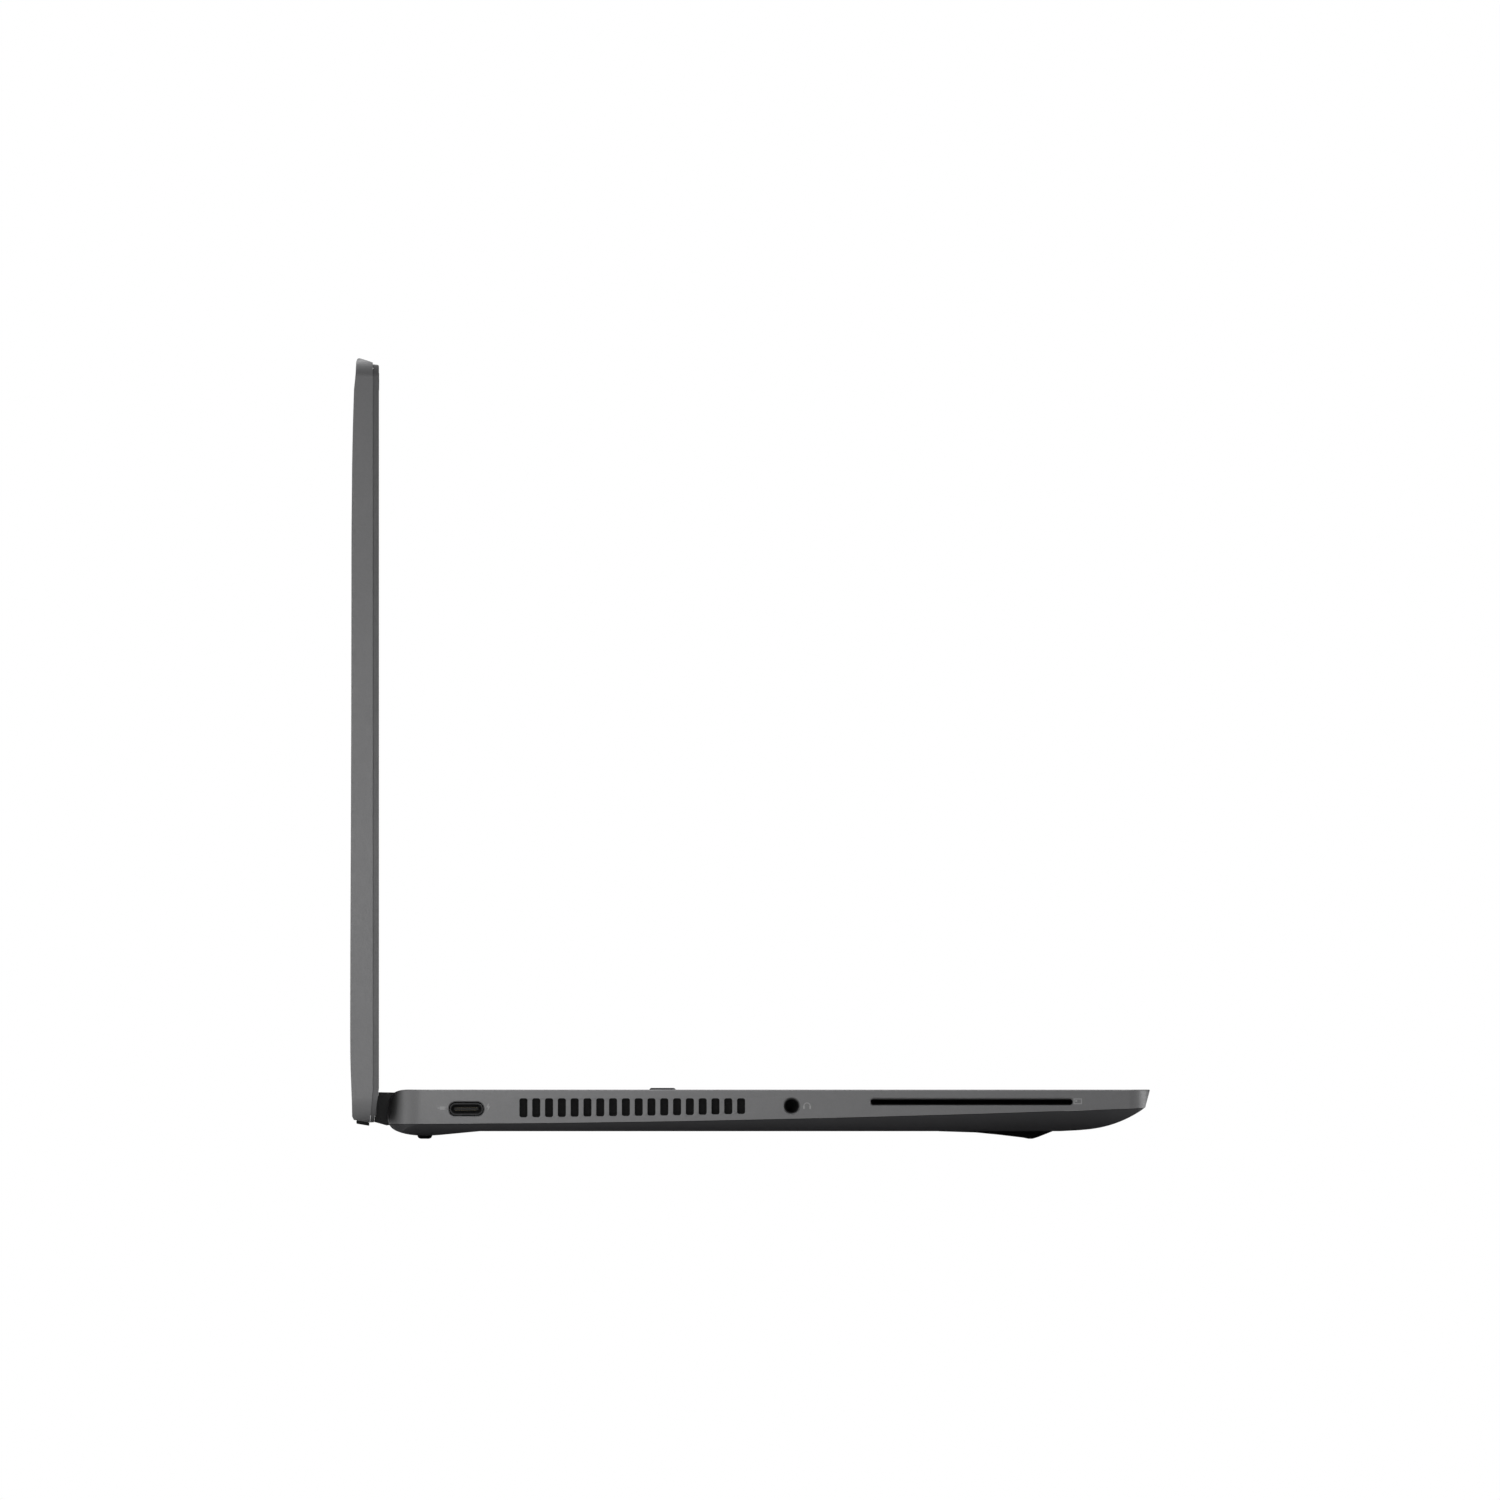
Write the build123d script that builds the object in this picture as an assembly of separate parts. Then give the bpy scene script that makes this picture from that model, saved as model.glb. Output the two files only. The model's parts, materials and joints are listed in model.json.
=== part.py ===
"""Thirteen-inch business laptop, its lid standing at a right angle to the base.

Millimetres.  +X is the user's right, -Y faces the user and +Z is up.  The origin is on the
surface that the feet stand on, under the middle of the machine.
"""
from build123d import *
from functools import lru_cache
from math import sqrt
import os

os.makedirs("parts", exist_ok=True)

# ---- overall ----------------------------------------------------------------------------
WIDTH = 307.0
HALF_W = WIDTH / 2
BEYOND = 30.0  # how far cutting tools reach past the surface that they cut

# ---- base -------------------------------------------------------------------------------
FRONT_Y = -108.1
REAR_Y = 98.0
DECK_Z = 13.3
DECK_THICKNESS = 1.2
DECK_UNDER_Z = DECK_Z - DECK_THICKNESS
UNDERSIDE_Z = 2.05
ROLL_Y = 89.7  # the deck starts to fall towards the rear edge here
ROLL_DROP = 1.05
WALL = 1.4
FRONT_CORNER_R = 6.0
REAR_CORNER_R = 10.0
EDGE_SOFTENING = 0.2  # chamfer round the deck's outer edge
PLAN_SLACK = 0.05  # keeps the plan's straight front and rear just outside the side outline
SEAM_GAP = 0.1
DECK_CUT_Z = (DECK_Z - 3, DECK_Z + 1)  # what the deck's openings are cut through

# Where the side wall turns under: height above the table along the side.
CREASE = [(-112, 8.5), (-60, 6.7), (-20, 5.6), (20, 4.75), (60, 4.2), (104, 4.0)]

# ---- hinge ------------------------------------------------------------------------------
HINGE_Y = 94.8
HINGE_Z = 8.3
SHAFT_R = 1.5
SHAFT_CLEARANCE = 0.05
SHAFT_WALL_ROOM = 0.3  # room round the shaft where it goes through the base's wall
SHAFT_END_X = 131.0
KNUCKLE_R = 2.4
KNUCKLE_ROOM = 0.1
BARREL_R = 4.2
NOTCH_X = (90.0, 134.0)  # gap in the base's rear edge that the hinge cap turns in
NOTCH_Y = 90.0
NOTCH_LINING = 1.0
CAP_CLEARANCE = 0.5
CAP_X = (NOTCH_X[0] + CAP_CLEARANCE, NOTCH_X[1] - CAP_CLEARANCE)
ARM_X = (108.0, 116.0)
ARM_HALF = 2.8  # half the arm's thickness at the shaft
ARM_END_Z = (8.2, 11.9)  # the arm where it meets the leaf's plate
ARM_ROOM = 0.5
ARM_SKIN_ROOM = 0.3
LEAF_X = (96.0, 128.0)
LEAF_Y = (105.0, 106.2)
LEAF_TOP_Z = 29.0
LEAF_HOLES = [(100.0, 25.0), (124.0, 25.0)]
LEAF_HOLE_R = 1.2
WEB_Z = (12.6, 4.55)  # where the cap's web meets the bezel
WEB_HEEL = (98.2, 3.6)
WEB_ROOM = 0.02
KNUCKLE_X = (79.0, 88.9)
BRACKET_X = (67.0, 88.9)
BRACKET_Z = (7.1, 8.3)
BRACKET_Y = (68.0, 95.0)
BRACKET_POSTS = [(71.0, 72.0), (84.0, 72.0)]
BRACKET_POST_R = 2.6
BRACKET_HOLE_R = 1.0
BRACKET_SCREW_R = 0.8
BRACKET_SCREW_LOW_Z = 4.2
BRACKET_SCREW_HEAD = (1.8, 0.4)  # radius and height

# ---- lid --------------------------------------------------------------------------------
SCREEN_Y = 100.3  # front face of the bezel
BEZEL_BACK_Y = 101.85
LID_SEAM_Y = 101.95
LID_WALL = 1.3
LID_CORNER_R = 6.0
LID_LOW_CORNER_R = 8.0
LID_TOP_Z = 210.95
LID_BOTTOM_Z = 4.35
CHIN_Z = 13.6  # below this the bezel slants back behind the base
CHIN_SLANT = 1.25 / 8.7
CHIN_SEAM_Z = 13.2  # the seam slants back below this
BEYOND_LID_Y = 120.0
BEZEL_LOW_Z = 4.45
BEZEL_PLAN_INSET = 0.25
BEZEL_RECESS_X = HALF_W - 1.9
BEZEL_RECESS_Z = (16.0, 207.6)
BEZEL_FACE = 0.8  # thickness of the bezel's face
POCKET_Z = (6.2, 208.2)  # hollow inside the lid
POCKET_STEP_Z = 194.0  # above this the hollow is shallower, as the back curves in
POCKET_Y = (106.2, 105.3)  # floor of the hollow below and above that
LIP_Y = (101.0, 102.9)  # the bezel's side lips stand inside the back cover's walls
LIP_ROOM = 0.15
LIP_THICKNESS = 1.0
REST_PAD_X = (70.0, 76.0)  # pads in the top seam that the bezel rests on
REST_PAD_Z = (208.3, 209.3)
WINDOW_X = 147.2
WINDOW_Z = (33.6, 199.4)
PANEL_X = 149.5
PANEL_Z = (31.0, 200.8)
GLASS_Y = (101.15, 101.75)
BACKLIGHT_Y = (101.8, 104.0)
PANEL_BOARD = ((-120, 120), (102.4, 103.4), (22.0, PANEL_Z[0]))
CAMERA_Z = 204.6
CAMERA_SIGHT_R = 1.7
LENS_R = 2.2
LENS_LENGTH = 0.6
LENS_GLASS_R = 1.1
LENS_RECESS = 0.1
CAMERA_BOARD = ((-30, 30), (102.5, 103.5), (201.8, 207.4))
SHUTTER_X = (-7.0, 9.5)
SHUTTER_Y = (101.2, 101.7)
SHUTTER_HALF_Z = 2.2
SHUTTER_HOLE_R = 1.8
NUB_X = (6.0, 8.4)
NUB_HALF_Z = 0.6
NUB_FRONT_Y = 100.22
NUB_SLOT = ((5.6, 12.8), 0.8)  # X and half height of the slot that the nub slides in
ANTENNA_BOARD = ((60, 118), (102.4, 103.2), (202.0, 207.2))
RUBBER_STRIP_X = 125.0

# ---- keyboard ---------------------------------------------------------------------------
KEY_UNIT = 18.8
KEY_PITCH_Y = 18.7
KEY_GAP = 2.2
ROW_UNITS = 14.75
KEYS_LEFT_X = -ROW_UNITS * KEY_UNIT / 2
KEY_TOP_Z = 13.25
KEY_HEIGHT = 2.1
KEY_CORNER_R = 1.0
KEY_TAPER = 8
KEY_EDGE = 0.2
ARROW_GAP = 1.0
BOTTOM_ROW_Y = -4.4
FUNCTION_ROW_Y = 84.45
FUNCTION_KEY_DEPTH = 7.7
FUNCTION_KEY_COUNT = 16
KEYBOARD_X = 139.5
KEYBOARD_Y = (-14.1, 88.7)
KEYBOARD_CORNER_R = 1.5
KEY_HOLE_ROOM = 0.35
KEY_HOLE_R = 1.2
FRAME_ROOM = 0.1
SHEET_ROOM = 0.3
FRAME_SKIRT = (0.25, 0.05)  # thickness of the frame's skirt at the front and sides, and at the rear
FRAME_Z = (11.5, 12.25)
SUPPORT_Z = (9.0, 9.4)
MEMBRANE_Z = (9.4, 9.7)

# Key widths of each full-height row in key units, from the left.
NUMBER_ROW = [1] * 13 + [1.75]
UPPER_ROW = [1.5] + [1] * 12 + [1.25]
HOME_ROW = [1.75] + [1] * 11
ENTER_UNITS = 2.0
LOWER_ROW = [2.25] + [1] * 10 + [2.5]
BOTTOM_ROW_LEFT = [1.25, 1, 1, 1.25]
SPACE_UNITS = 5.25
BOTTOM_ROW_RIGHT = [1, 1]
STICK_UNITS = 6.75  # the pointing stick stands this many key units from the left
STICK_R = 3.6
STICK_ROOM = 0.8
STICK_STEM_R = 2.2
STICK_STEM_TOP_Z = 12.6
STICK_CAP_Z = (11.9, 13.75)
STICK_DOME = 0.7

# ---- touchpad and its buttons -----------------------------------------------------------
PAD_X = 53.0
PAD_Y = (-95.0, -29.0)
PAD_Z = (12.0, 13.2)
PAD_CORNER_R = 1.7
PAD_EDGE = 0.15
PAD_GAP = 0.3
BUTTON_Y = (-27.6, -18.2)
BUTTON_Z = (11.4, 13.2)
BUTTON_CORNER_R = 0.6
BUTTON_EDGE = 0.25
BUTTON_GAP_HALF = 0.3
PAD_BRACKET = ((-58, 58), (-97, -28.4), (10.2, 10.7))
BUTTON_BOARD = ((-53, 53), (-27.6, -18), (9.6, 10.2))

# ---- ports ------------------------------------------------------------------------------
USB_C_Y, USB_C_Z = 76.7, 8.05
JACK_Y, JACK_Z = -11.2, 8.9
JACK_R = 1.8
JACK_MOUTH_R = 2.07
CARD_Y, CARD_Z = -59.85, 9.95
CARD_SLOT = (54.6, 1.72)
VENT_COUNT = 18
VENT_FIRST_Y = 61.25
VENT_PITCH = 3.46
VENT_WIDTH = 2.17
VENT_TOP_Z = 10.95
VENT_ABOVE_CREASE = 1.6
VENT_CORNER_R = 0.6
HDMI_Y, HDMI_Z = 66.0, 8.6
USB_A_Y, USB_A_Z = 38.0, 8.5
LOCK_Y, LOCK_Z = -84.0, 10.1
MOUTH_CHAMFER = 0.3

# Holes in the walls: width, height and, for the square ones, corner radius.
USB_C_HOLE = (9.5, 3.8)
HDMI_HOLE = (15.4, 6.0, 0.8)
USB_A_HOLE = (14.0, 6.2, 0.6)
LOCK_HOLE = (6.0, 2.5, 0.8)

# Port shells: outer and inner width, height and corner radius, then depth.
USB_C_SHELL = ((8.94, 3.16, 1.57), (8.34, 2.56, 1.27), 8.0)
HDMI_SHELL = ((15.0, 5.55, 0.6), (14.2, 4.75, 0.4), 11.0)
USB_A_SHELL = ((13.8, 5.8, 0.4), (13.1, 5.12, 0.3), 13.0)
SHELL_SETBACK = 0.5
SHELL_BACK = 0.4

# Tongues: width, height, and where they start and end behind the wall's face.
USB_C_TONGUE = (6.69, 0.7, 1.6, 8.1)
HDMI_TONGUE = (11.2, 0.8, 2.2, 11.1)
USB_A_TONGUE = (11.1, 1.8, 1.6, 13.1)
HDMI_TONGUE_RISE = 0.3
USB_A_TONGUE_RISE = 1.2

# Bodies behind the left wall's socket and card slot.
BEHIND_WALL_X = -HALF_W + WALL + 0.1
JACK_HALF = (3.4, 2.9)  # half width and half height of the socket's body
JACK_END_X = -HALF_W + 13.5
JACK_BACK = 0.6
JACK_COLLAR_SETBACK = 0.45
JACK_COLLAR_ROOT = 0.1
JACK_COLLAR_ROOM = 0.02
READER_END_X = -86.0
READER_HALF_Y = 29.6
READER_Z = (8.45, 11.8)
READER_SLOT_HALF_Y = 27.2
READER_SLOT_Z = (9.35, 10.55)
READER_BACK = 4.0

# ---- inside -----------------------------------------------------------------------------
FLOOR_Z = 3.7  # lowest level of the parts that lie in the bottom cover
BOARD_Z = (4.6, 5.6)
BOARD_HOLE_R = 1.6
SYSTEM_BOARD = [((-66, 62), (-14, 64)), ((-62, 62), (60, 86))]
SYSTEM_BOARD_HOLES = [(-60, -9), (56, -9), (-56, 80), (56, 80)]
# X, Y and height of each soldered chip
SYSTEM_CHIPS = [
    ((-8, 6), (40, 56), 1.0), ((-58, -44), (8, 20), 0.9), ((-36, -25), (4, 14), 1.2),
    ((14, 24), (68, 78), 1.4), ((34, 46), (68, 76), 1.0), ((-54, -46), (-8, -2), 0.8),
]
# X, Y and mounting hole of each small board
IO_BOARDS = [
    ((-146, -92), (68.5, 82.5), (-112, 75)),
    ((112, 146), (22, 80), (120, 30)),
    ((-146, -120), (-17, -3.5), (-126, -10)),
]
PROCESSOR = ((-44, -16), (33, 57), (BOARD_Z[1], 6.3))
COLD_PLATE = ((-46, -14), (30, 59), (6.3, 6.8))
BATTERY_X = (-78, 118)
BATTERY_Y = (-85, -20)
BATTERY_TOP_Z = 9.2
BATTERY_GROOVES_X = (-12.7, 52.7)
BATTERY_GROOVE = (0.8, 0.3)  # half width and depth
# X, Y, underside, number of chips and their height
DRIVE = ((-20, 58), (-8, 14), 5.9, 4, 0.8)
MEMORY = ((0, 60), (24, 38), 5.9, 4, 0.8)
RADIO = ((72, 104), (22, 44), 5.0, 2, 1.2)
CARD_THICKNESS = 0.8
CHIP_MARGIN = (1.5, 4.0)
COIN_CELL = (86, 2, (4.8, 6.8), 8.0)
SOFT_CORNER_R = 2.0
SPEAKER_LEFT = ((-145, -86), (-84, -36), (FLOOR_Z, 8.2))
SPEAKER_RIGHT = ((122, 145), (-85, -32), (FLOOR_Z + 0.1, 9.4))
CONE_R = 8.0
CONE_DEPTH = 0.6
FAN_X, FAN_Y = -107.0, 28.0
FAN_R = 24.0
FAN_Z = (4.7, 7.5)
FAN_HUB_R = 8.5
FAN_PIN_R = 1.0
FAN_PIN_TOP_Z = 7.2
FAN_PIN_ROOM = 0.1
FAN_RING_R = (19.0, 20.5)
FAN_RING_Z = (5.8, 6.4)
BLADE_HALF = 0.25
BLADE_OFFSET = 2.0  # how far the blades miss the centre, which sweeps them
BLADE_COUNT = 31
FAN_HOUSING_X = (-136.0, -78.0)
FAN_HOUSING_Y = (1.5, 54.5)
FAN_HOUSING_Z = (3.8, 8.4)
FAN_INTAKE_R = 17.0
FAN_HOUSING_CORNER_R = 5.0
FAN_HUB_SEAT_R = 7.0
FAN_WALL = 0.8
FAN_SKIN = 0.5
FAN_SPOKE_HALF = 1.2
PIPE_Z = (6.8, 8.4)
PIPE_WIDTH = 7.0
PIPE_ROUTE = [(-30, 45), (-50, 59.5), (-137, 59.5), (-145.5, 51), (-145.5, 4)]
PIPE_BEND_R = 5.0
PIPE_ROOM = 0.05
FIN_X = (-150.8, -140.4)
FIN_Y = (2.0, 48.0)
FIN_Z = (4.8, 11.4)
FIN_COUNT = 27
FIN_THICKNESS = 0.4

# ---- underside --------------------------------------------------------------------------
INTAKE_ROWS, INTAKE_COLUMNS = 3, 13
INTAKE_PITCH = (4.5, 15.0)  # across and along the slots
INTAKE_SLOT = (12.5, 2.0)
SPEAKER_SLOT_COUNT = 8
SPEAKER_SLOT_X = 118.0
SPEAKER_SLOT_Y = -70.0
SPEAKER_SLOT_PITCH = 3.2
SPEAKER_SLOT = (8.0, 1.4)
FRONT_FOOT_X = 118.0
REAR_FOOT_X = 128.0
# Ribs on the bottom cover that the top case's walls rest on: X and Y
COVER_RIBS = [((119.2, 120.4), (-107.9, -12.0)), ((137.2, 138.4), (54.0, 97.9))]
RIB_INSET = 0.1

# ---- screws -----------------------------------------------------------------------------
# X, Y, top of the screw's head, lower end of the boss that it goes into
COVER_SCREWS = [(143.5, 86.0, 2.2, 5.4), (143.5, -21.0, 3.1, 5.4), (100.0, -95.0, 5.0, 6.8)]
SCREW_HEAD_R = 2.5
SCREW_HEAD_HEIGHT = 0.9
SCREW_HEAD_ROOM = 0.15
SCREW_SOCKET_R = 0.9
SCREW_SOCKET_DEPTH = 0.4
SCREW_CUP_R = 3.4
SCREW_BOSS_R = 2.4
SCREW_SHANK_R = 0.8
SCREW_THREAD_ROOM = 0.05
SCREW_PASS_ROOM = 0.4
SCREW_LENGTH = 6.0


# ---- helpers ----------------------------------------------------------------------------
def slab(x, y, z):
    """Block between two X, two Y and two Z values."""
    size = [pair[1] - pair[0] for pair in (x, y, z)]
    middle = [(pair[0] + pair[1]) / 2 for pair in (x, y, z)]
    return Pos(*middle) * Box(*size)


def round_slab(x, y, z, radius):
    """Block with rounded corners seen from above."""
    place = Pos((x[0] + x[1]) / 2, (y[0] + y[1]) / 2, z[0])
    return extrude(place * RectangleRounded(x[1] - x[0], y[1] - y[0], radius), z[1] - z[0])


def post(x, y, z, radius):
    """Upright cylinder."""
    return Pos(x, y, z[0]) * extrude(Circle(radius), z[1] - z[0])


def rod_x(x, y, z, radius):
    """Cylinder along X."""
    return Pos(x[0], y, z) * extrude(Plane.YZ * Circle(radius), x[1] - x[0])


def rod_y(x, y, z, radius):
    """Cylinder along Y."""
    return Pos(x, y[1], z) * extrude(Plane.XZ * Circle(radius), y[1] - y[0])


def side_prism(section, x):
    """Section in the Y-Z plane, drawn as (Y, Z), carried from one X to another."""
    return Pos(x[0], 0, 0) * extrude(Plane.YZ * section, x[1] - x[0])


def both_sides(shape):
    """The shape and its mirror image across the middle of the machine."""
    return [shape, shape.mirror(Plane.YZ)]


def outline(*edges):
    """Closed face from edges that run on from each other."""
    return make_face([edge for part in edges for edge in part.edges()])


def save(name, *pieces):
    """Write one node; each piece stays a separate solid in it."""
    solids = [solid for piece in pieces for solid in piece.solids()]
    shape = solids[0] if len(solids) == 1 else Compound(children=solids)
    shape.label = name
    export_step(shape, f"parts/{name}.step")


# ---- base shells ------------------------------------------------------------------------
def base_section(inset):
    """Side outline of the base, its walls moved in by the inset."""
    top = DECK_Z - inset
    rear = REAR_Y - inset
    front = FRONT_Y + inset
    flat = UNDERSIDE_Z + inset
    deck = Line((front, top), (ROLL_Y, top))
    shoulder = (rear - 1.6, top - ROLL_DROP)
    roll = Spline((ROLL_Y, top), shoulder, tangents=[(1, 0), (0.7, -0.7)])
    rear_wall = Polyline(shoulder, (rear - 0.5, top - 2.6), (rear, 5.6))
    rear_bulge = Spline(
        (rear, 5.6), (rear - 1.2, 2.9 + inset), (94.0 - inset, 1.55 + inset), (88.5, 0.85 + inset),
        (83.0, 1.1 + inset), (78.0, 1.65 + inset), (73.0, flat),
    )
    underside = Line((73.0, flat), (-83.8, flat))
    nose = Spline(
        (-83.8, flat), (-89.3 + inset / 2, 2.35 + inset), (-94.7 + inset / 2, 3.05 + inset),
        (-101.2 + inset / 2, 5.16 + inset), (front + 1.3, 8.46),
    )
    front_face = Line((front + 1.3, 8.46), (front, top))
    return outline(deck, roll, rear_wall, rear_bulge, underside, nose, front_face)


def base_plan(inset):
    """Base seen from above, its edges moved in by the inset."""
    front, rear = FRONT_Y + inset - PLAN_SLACK, REAR_Y - inset + PLAN_SLACK
    plan = Pos(0, (front + rear) / 2) * Rectangle(2 * (HALF_W - inset), rear - front)
    by_depth = plan.vertices().sort_by(Axis.Y)
    plan = fillet(by_depth[:2], FRONT_CORNER_R - inset)
    return fillet(plan.vertices().sort_by(Axis.Y)[-2:], REAR_CORNER_R - inset)


def under_crease(drop=0.0):
    """Y-Z region below the crease line."""
    points = [(y, z - drop) for y, z in CREASE]
    edge = Spline(*points)
    first, last = points[0], points[-1]
    rest = Polyline(last, (last[0], -BEYOND), (first[0], -BEYOND), first)
    return outline(edge, rest)


def base_solid(inset):
    """Solid base, or its inside when the walls are moved in."""
    body = side_prism(base_section(inset), (-HALF_W - 1, HALF_W + 1))
    body &= Pos(0, 0, -BEYOND) * extrude(base_plan(inset), 2 * BEYOND)
    undercut = extrude(Plane.YZ * under_crease(), 2 * BEYOND, dir=(-1, 0, -1))
    start = Pos(HALF_W + 5, 0, 5 + inset * sqrt(2))
    for wedge in both_sides(start * undercut):
        body -= wedge
    return body


def soften_deck_edge(body):
    """Chamfer the deck's outer edge along the sides and the front."""
    top = body.faces().filter_by(Axis.Z).sort_by(Axis.Z)[-1]
    edges = top.edges().filter_by(lambda edge: edge.center().Y < ROLL_Y - 1)
    return chamfer(edges, EDGE_SOFTENING)


def hinge_notches():
    """Cutting tools for the two gaps in the rear edge."""
    return both_sides(slab(NOTCH_X, (NOTCH_Y, REAR_Y + BEYOND), (-BEYOND, BEYOND)))


def base_shell():
    """Whole hollow base before it is split into top case and bottom cover."""
    outer = soften_deck_edge(base_solid(0))
    shell = outer - base_solid(WALL)
    lining = slab(
        (NOTCH_X[0] - NOTCH_LINING, NOTCH_X[1] + NOTCH_LINING),
        (NOTCH_Y - NOTCH_LINING, REAR_Y + BEYOND), (-BEYOND, BEYOND),
    )
    for block in both_sides(lining):
        shell += block & outer
    for notch in hinge_notches():
        shell -= notch
    shaft_x = (NOTCH_X[0] - 5, NOTCH_X[0] + 5)
    shaft_hole = rod_x(shaft_x, HINGE_Y, HINGE_Z, SHAFT_R + SHAFT_WALL_ROOM)
    knuckle_x = (KNUCKLE_X[0] - SHAFT_WALL_ROOM, NOTCH_X[0] - NOTCH_LINING)
    knuckle_room = rod_x(knuckle_x, HINGE_Y, HINGE_Z, KNUCKLE_R + KNUCKLE_ROOM)
    return shell - both_sides(shaft_hole) - both_sides(knuckle_room)


def crease_height(y):
    """Height of the crease, straight between its given points."""
    for (y0, z0), (y1, z1) in zip(CREASE, CREASE[1:]):
        if y0 <= y <= y1:
            return z0 + (z1 - z0) * (y - y0) / (y1 - y0)


def wall_hole(side, y, z, width, height, flare=MOUTH_CHAMFER):
    """Round-ended hole through a side wall with a chamfered mouth; side is -1 left, 1 right."""
    plane = Plane(origin=(side * HALF_W, y, z), x_dir=(0, 1, 0), z_dir=(-side, 0, 0))
    hole = extrude(plane * SlotOverall(width, height), WALL + 1)
    mouth = extrude(plane * SlotOverall(width + 2 * flare, height + 2 * flare), flare, taper=45)
    return hole + mouth


def square_hole(side, y, z, width, height, radius):
    """Rounded rectangular hole through a side wall."""
    plane = Plane(origin=(side * HALF_W, y, z), x_dir=(0, 1, 0), z_dir=(-side, 0, 0))
    return extrude(plane * RectangleRounded(width, height, radius), WALL + 1)


def vent_holes():
    """Exhaust slots in the left wall, their lower ends following the crease."""
    holes = []
    for index in range(VENT_COUNT):
        y = VENT_FIRST_Y - index * VENT_PITCH
        bottom = crease_height(y) + VENT_ABOVE_CREASE
        height = VENT_TOP_Z - bottom
        holes.append(square_hole(-1, y, bottom + height / 2, VENT_WIDTH, height, VENT_CORNER_R))
    return holes


def port_holes():
    """Openings for the ports and slots in both side walls."""
    return [
        wall_hole(-1, USB_C_Y, USB_C_Z, *USB_C_HOLE),
        wall_hole(-1, JACK_Y, JACK_Z, 2 * JACK_MOUTH_R, 2 * JACK_MOUTH_R - 0.01),
        wall_hole(-1, CARD_Y, CARD_Z, *CARD_SLOT),
        square_hole(1, HDMI_Y, HDMI_Z, *HDMI_HOLE),
        square_hole(1, USB_A_Y, USB_A_Z, *USB_A_HOLE),
        square_hole(1, LOCK_Y, LOCK_Z, *LOCK_HOLE),
    ]


def screw_places():
    """X, Y, head-top height and boss height of every bottom-cover screw."""
    return [(side * x, y, head, boss) for x, y, head, boss in COVER_SCREWS for side in (-1, 1)]


def palmrest_top_case(shell):
    """Deck and side walls with every opening."""
    case = shell - side_prism(under_crease(), (-HALF_W - 1, HALF_W + 1))
    case -= round_slab((-KEYBOARD_X, KEYBOARD_X), KEYBOARD_Y, DECK_CUT_Z, KEYBOARD_CORNER_R)
    pad_x = (-PAD_X - PAD_GAP, PAD_X + PAD_GAP)
    pad_y = (PAD_Y[0] - PAD_GAP, PAD_Y[1] + PAD_GAP)
    button_y = (BUTTON_Y[0] - PAD_GAP, BUTTON_Y[1] + PAD_GAP)
    case -= round_slab(pad_x, pad_y, DECK_CUT_Z, PAD_CORNER_R + PAD_GAP)
    case -= round_slab(pad_x, button_y, DECK_CUT_Z, BUTTON_CORNER_R + PAD_GAP)
    case -= port_holes() + vent_holes()
    for x, y, head, boss in screw_places():
        case += post(x, y, (boss, DECK_UNDER_Z + WALL / 4), SCREW_BOSS_R)
        thread = (boss - 1, head + SCREW_LENGTH + WALL / 4)
        case -= post(x, y, thread, SCREW_SHANK_R + SCREW_THREAD_ROOM)
    return case


def slot_row(first, count, step, size):
    """Cutting tools for a row of slots that are long in Y, set out along X."""
    slot = extrude(Rot(0, 0, 90) * SlotOverall(*size), BEYOND)
    return [Pos(first[0] + index * step, first[1], -BEYOND / 2) * slot for index in range(count)]


def intake_slots():
    """Slots in the bottom cover under the fan."""
    left = FAN_X - (INTAKE_COLUMNS - 1) / 2 * INTAKE_PITCH[0]
    slots = []
    for row in range(INTAKE_ROWS):
        y = FAN_Y + (row - (INTAKE_ROWS - 1) / 2) * INTAKE_PITCH[1]
        slots += slot_row((left, y), INTAKE_COLUMNS, INTAKE_PITCH[0], INTAKE_SLOT)
    return slots


def speaker_slots():
    """Short slots near the front corners that let the sound out."""
    first = (SPEAKER_SLOT_X, SPEAKER_SLOT_Y)
    row = slot_row(first, SPEAKER_SLOT_COUNT, SPEAKER_SLOT_PITCH, SPEAKER_SLOT)
    return [slot for tool in row for slot in both_sides(tool)]


def cover_ribs():
    """Ribs that rise to the crease, where the top case's walls rest on them."""
    room = base_solid(RIB_INSET) & side_prism(under_crease(), (-HALF_W, HALF_W))
    return [slab(x, y, (UNDERSIDE_Z, DECK_UNDER_Z)) & room for x, y in COVER_RIBS]


def bottom_cover(shell):
    """Lower shell with intake slots, speaker slots, ribs, screw cups and bracket feet."""
    solid = base_solid(0)
    cover = shell & side_prism(under_crease(SEAM_GAP), (-HALF_W - 1, HALF_W + 1))
    cover -= intake_slots() + speaker_slots()
    for x, y, head, boss in screw_places():
        cover += post(x, y, (-1, boss - SEAM_GAP), SCREW_CUP_R) & solid
        cover -= post(x, y, (-1, head), SCREW_HEAD_R + SCREW_HEAD_ROOM)
        cover -= post(x, y, (-1, boss + 1), SCREW_SHANK_R + SCREW_PASS_ROOM)
    for x, y in BRACKET_POSTS:
        for foot in both_sides(post(x, y, (UNDERSIDE_Z + WALL / 2, BRACKET_Z[0]), BRACKET_POST_R)):
            cover += foot
        hole_z = (BRACKET_SCREW_LOW_Z - SEAM_GAP, BRACKET_Z[1])
        for hole in both_sides(post(x, y, hole_z, BRACKET_SCREW_R + SHAFT_CLEARANCE)):
            cover -= hole
    for rib in cover_ribs():
        cover += rib
    return cover


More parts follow.
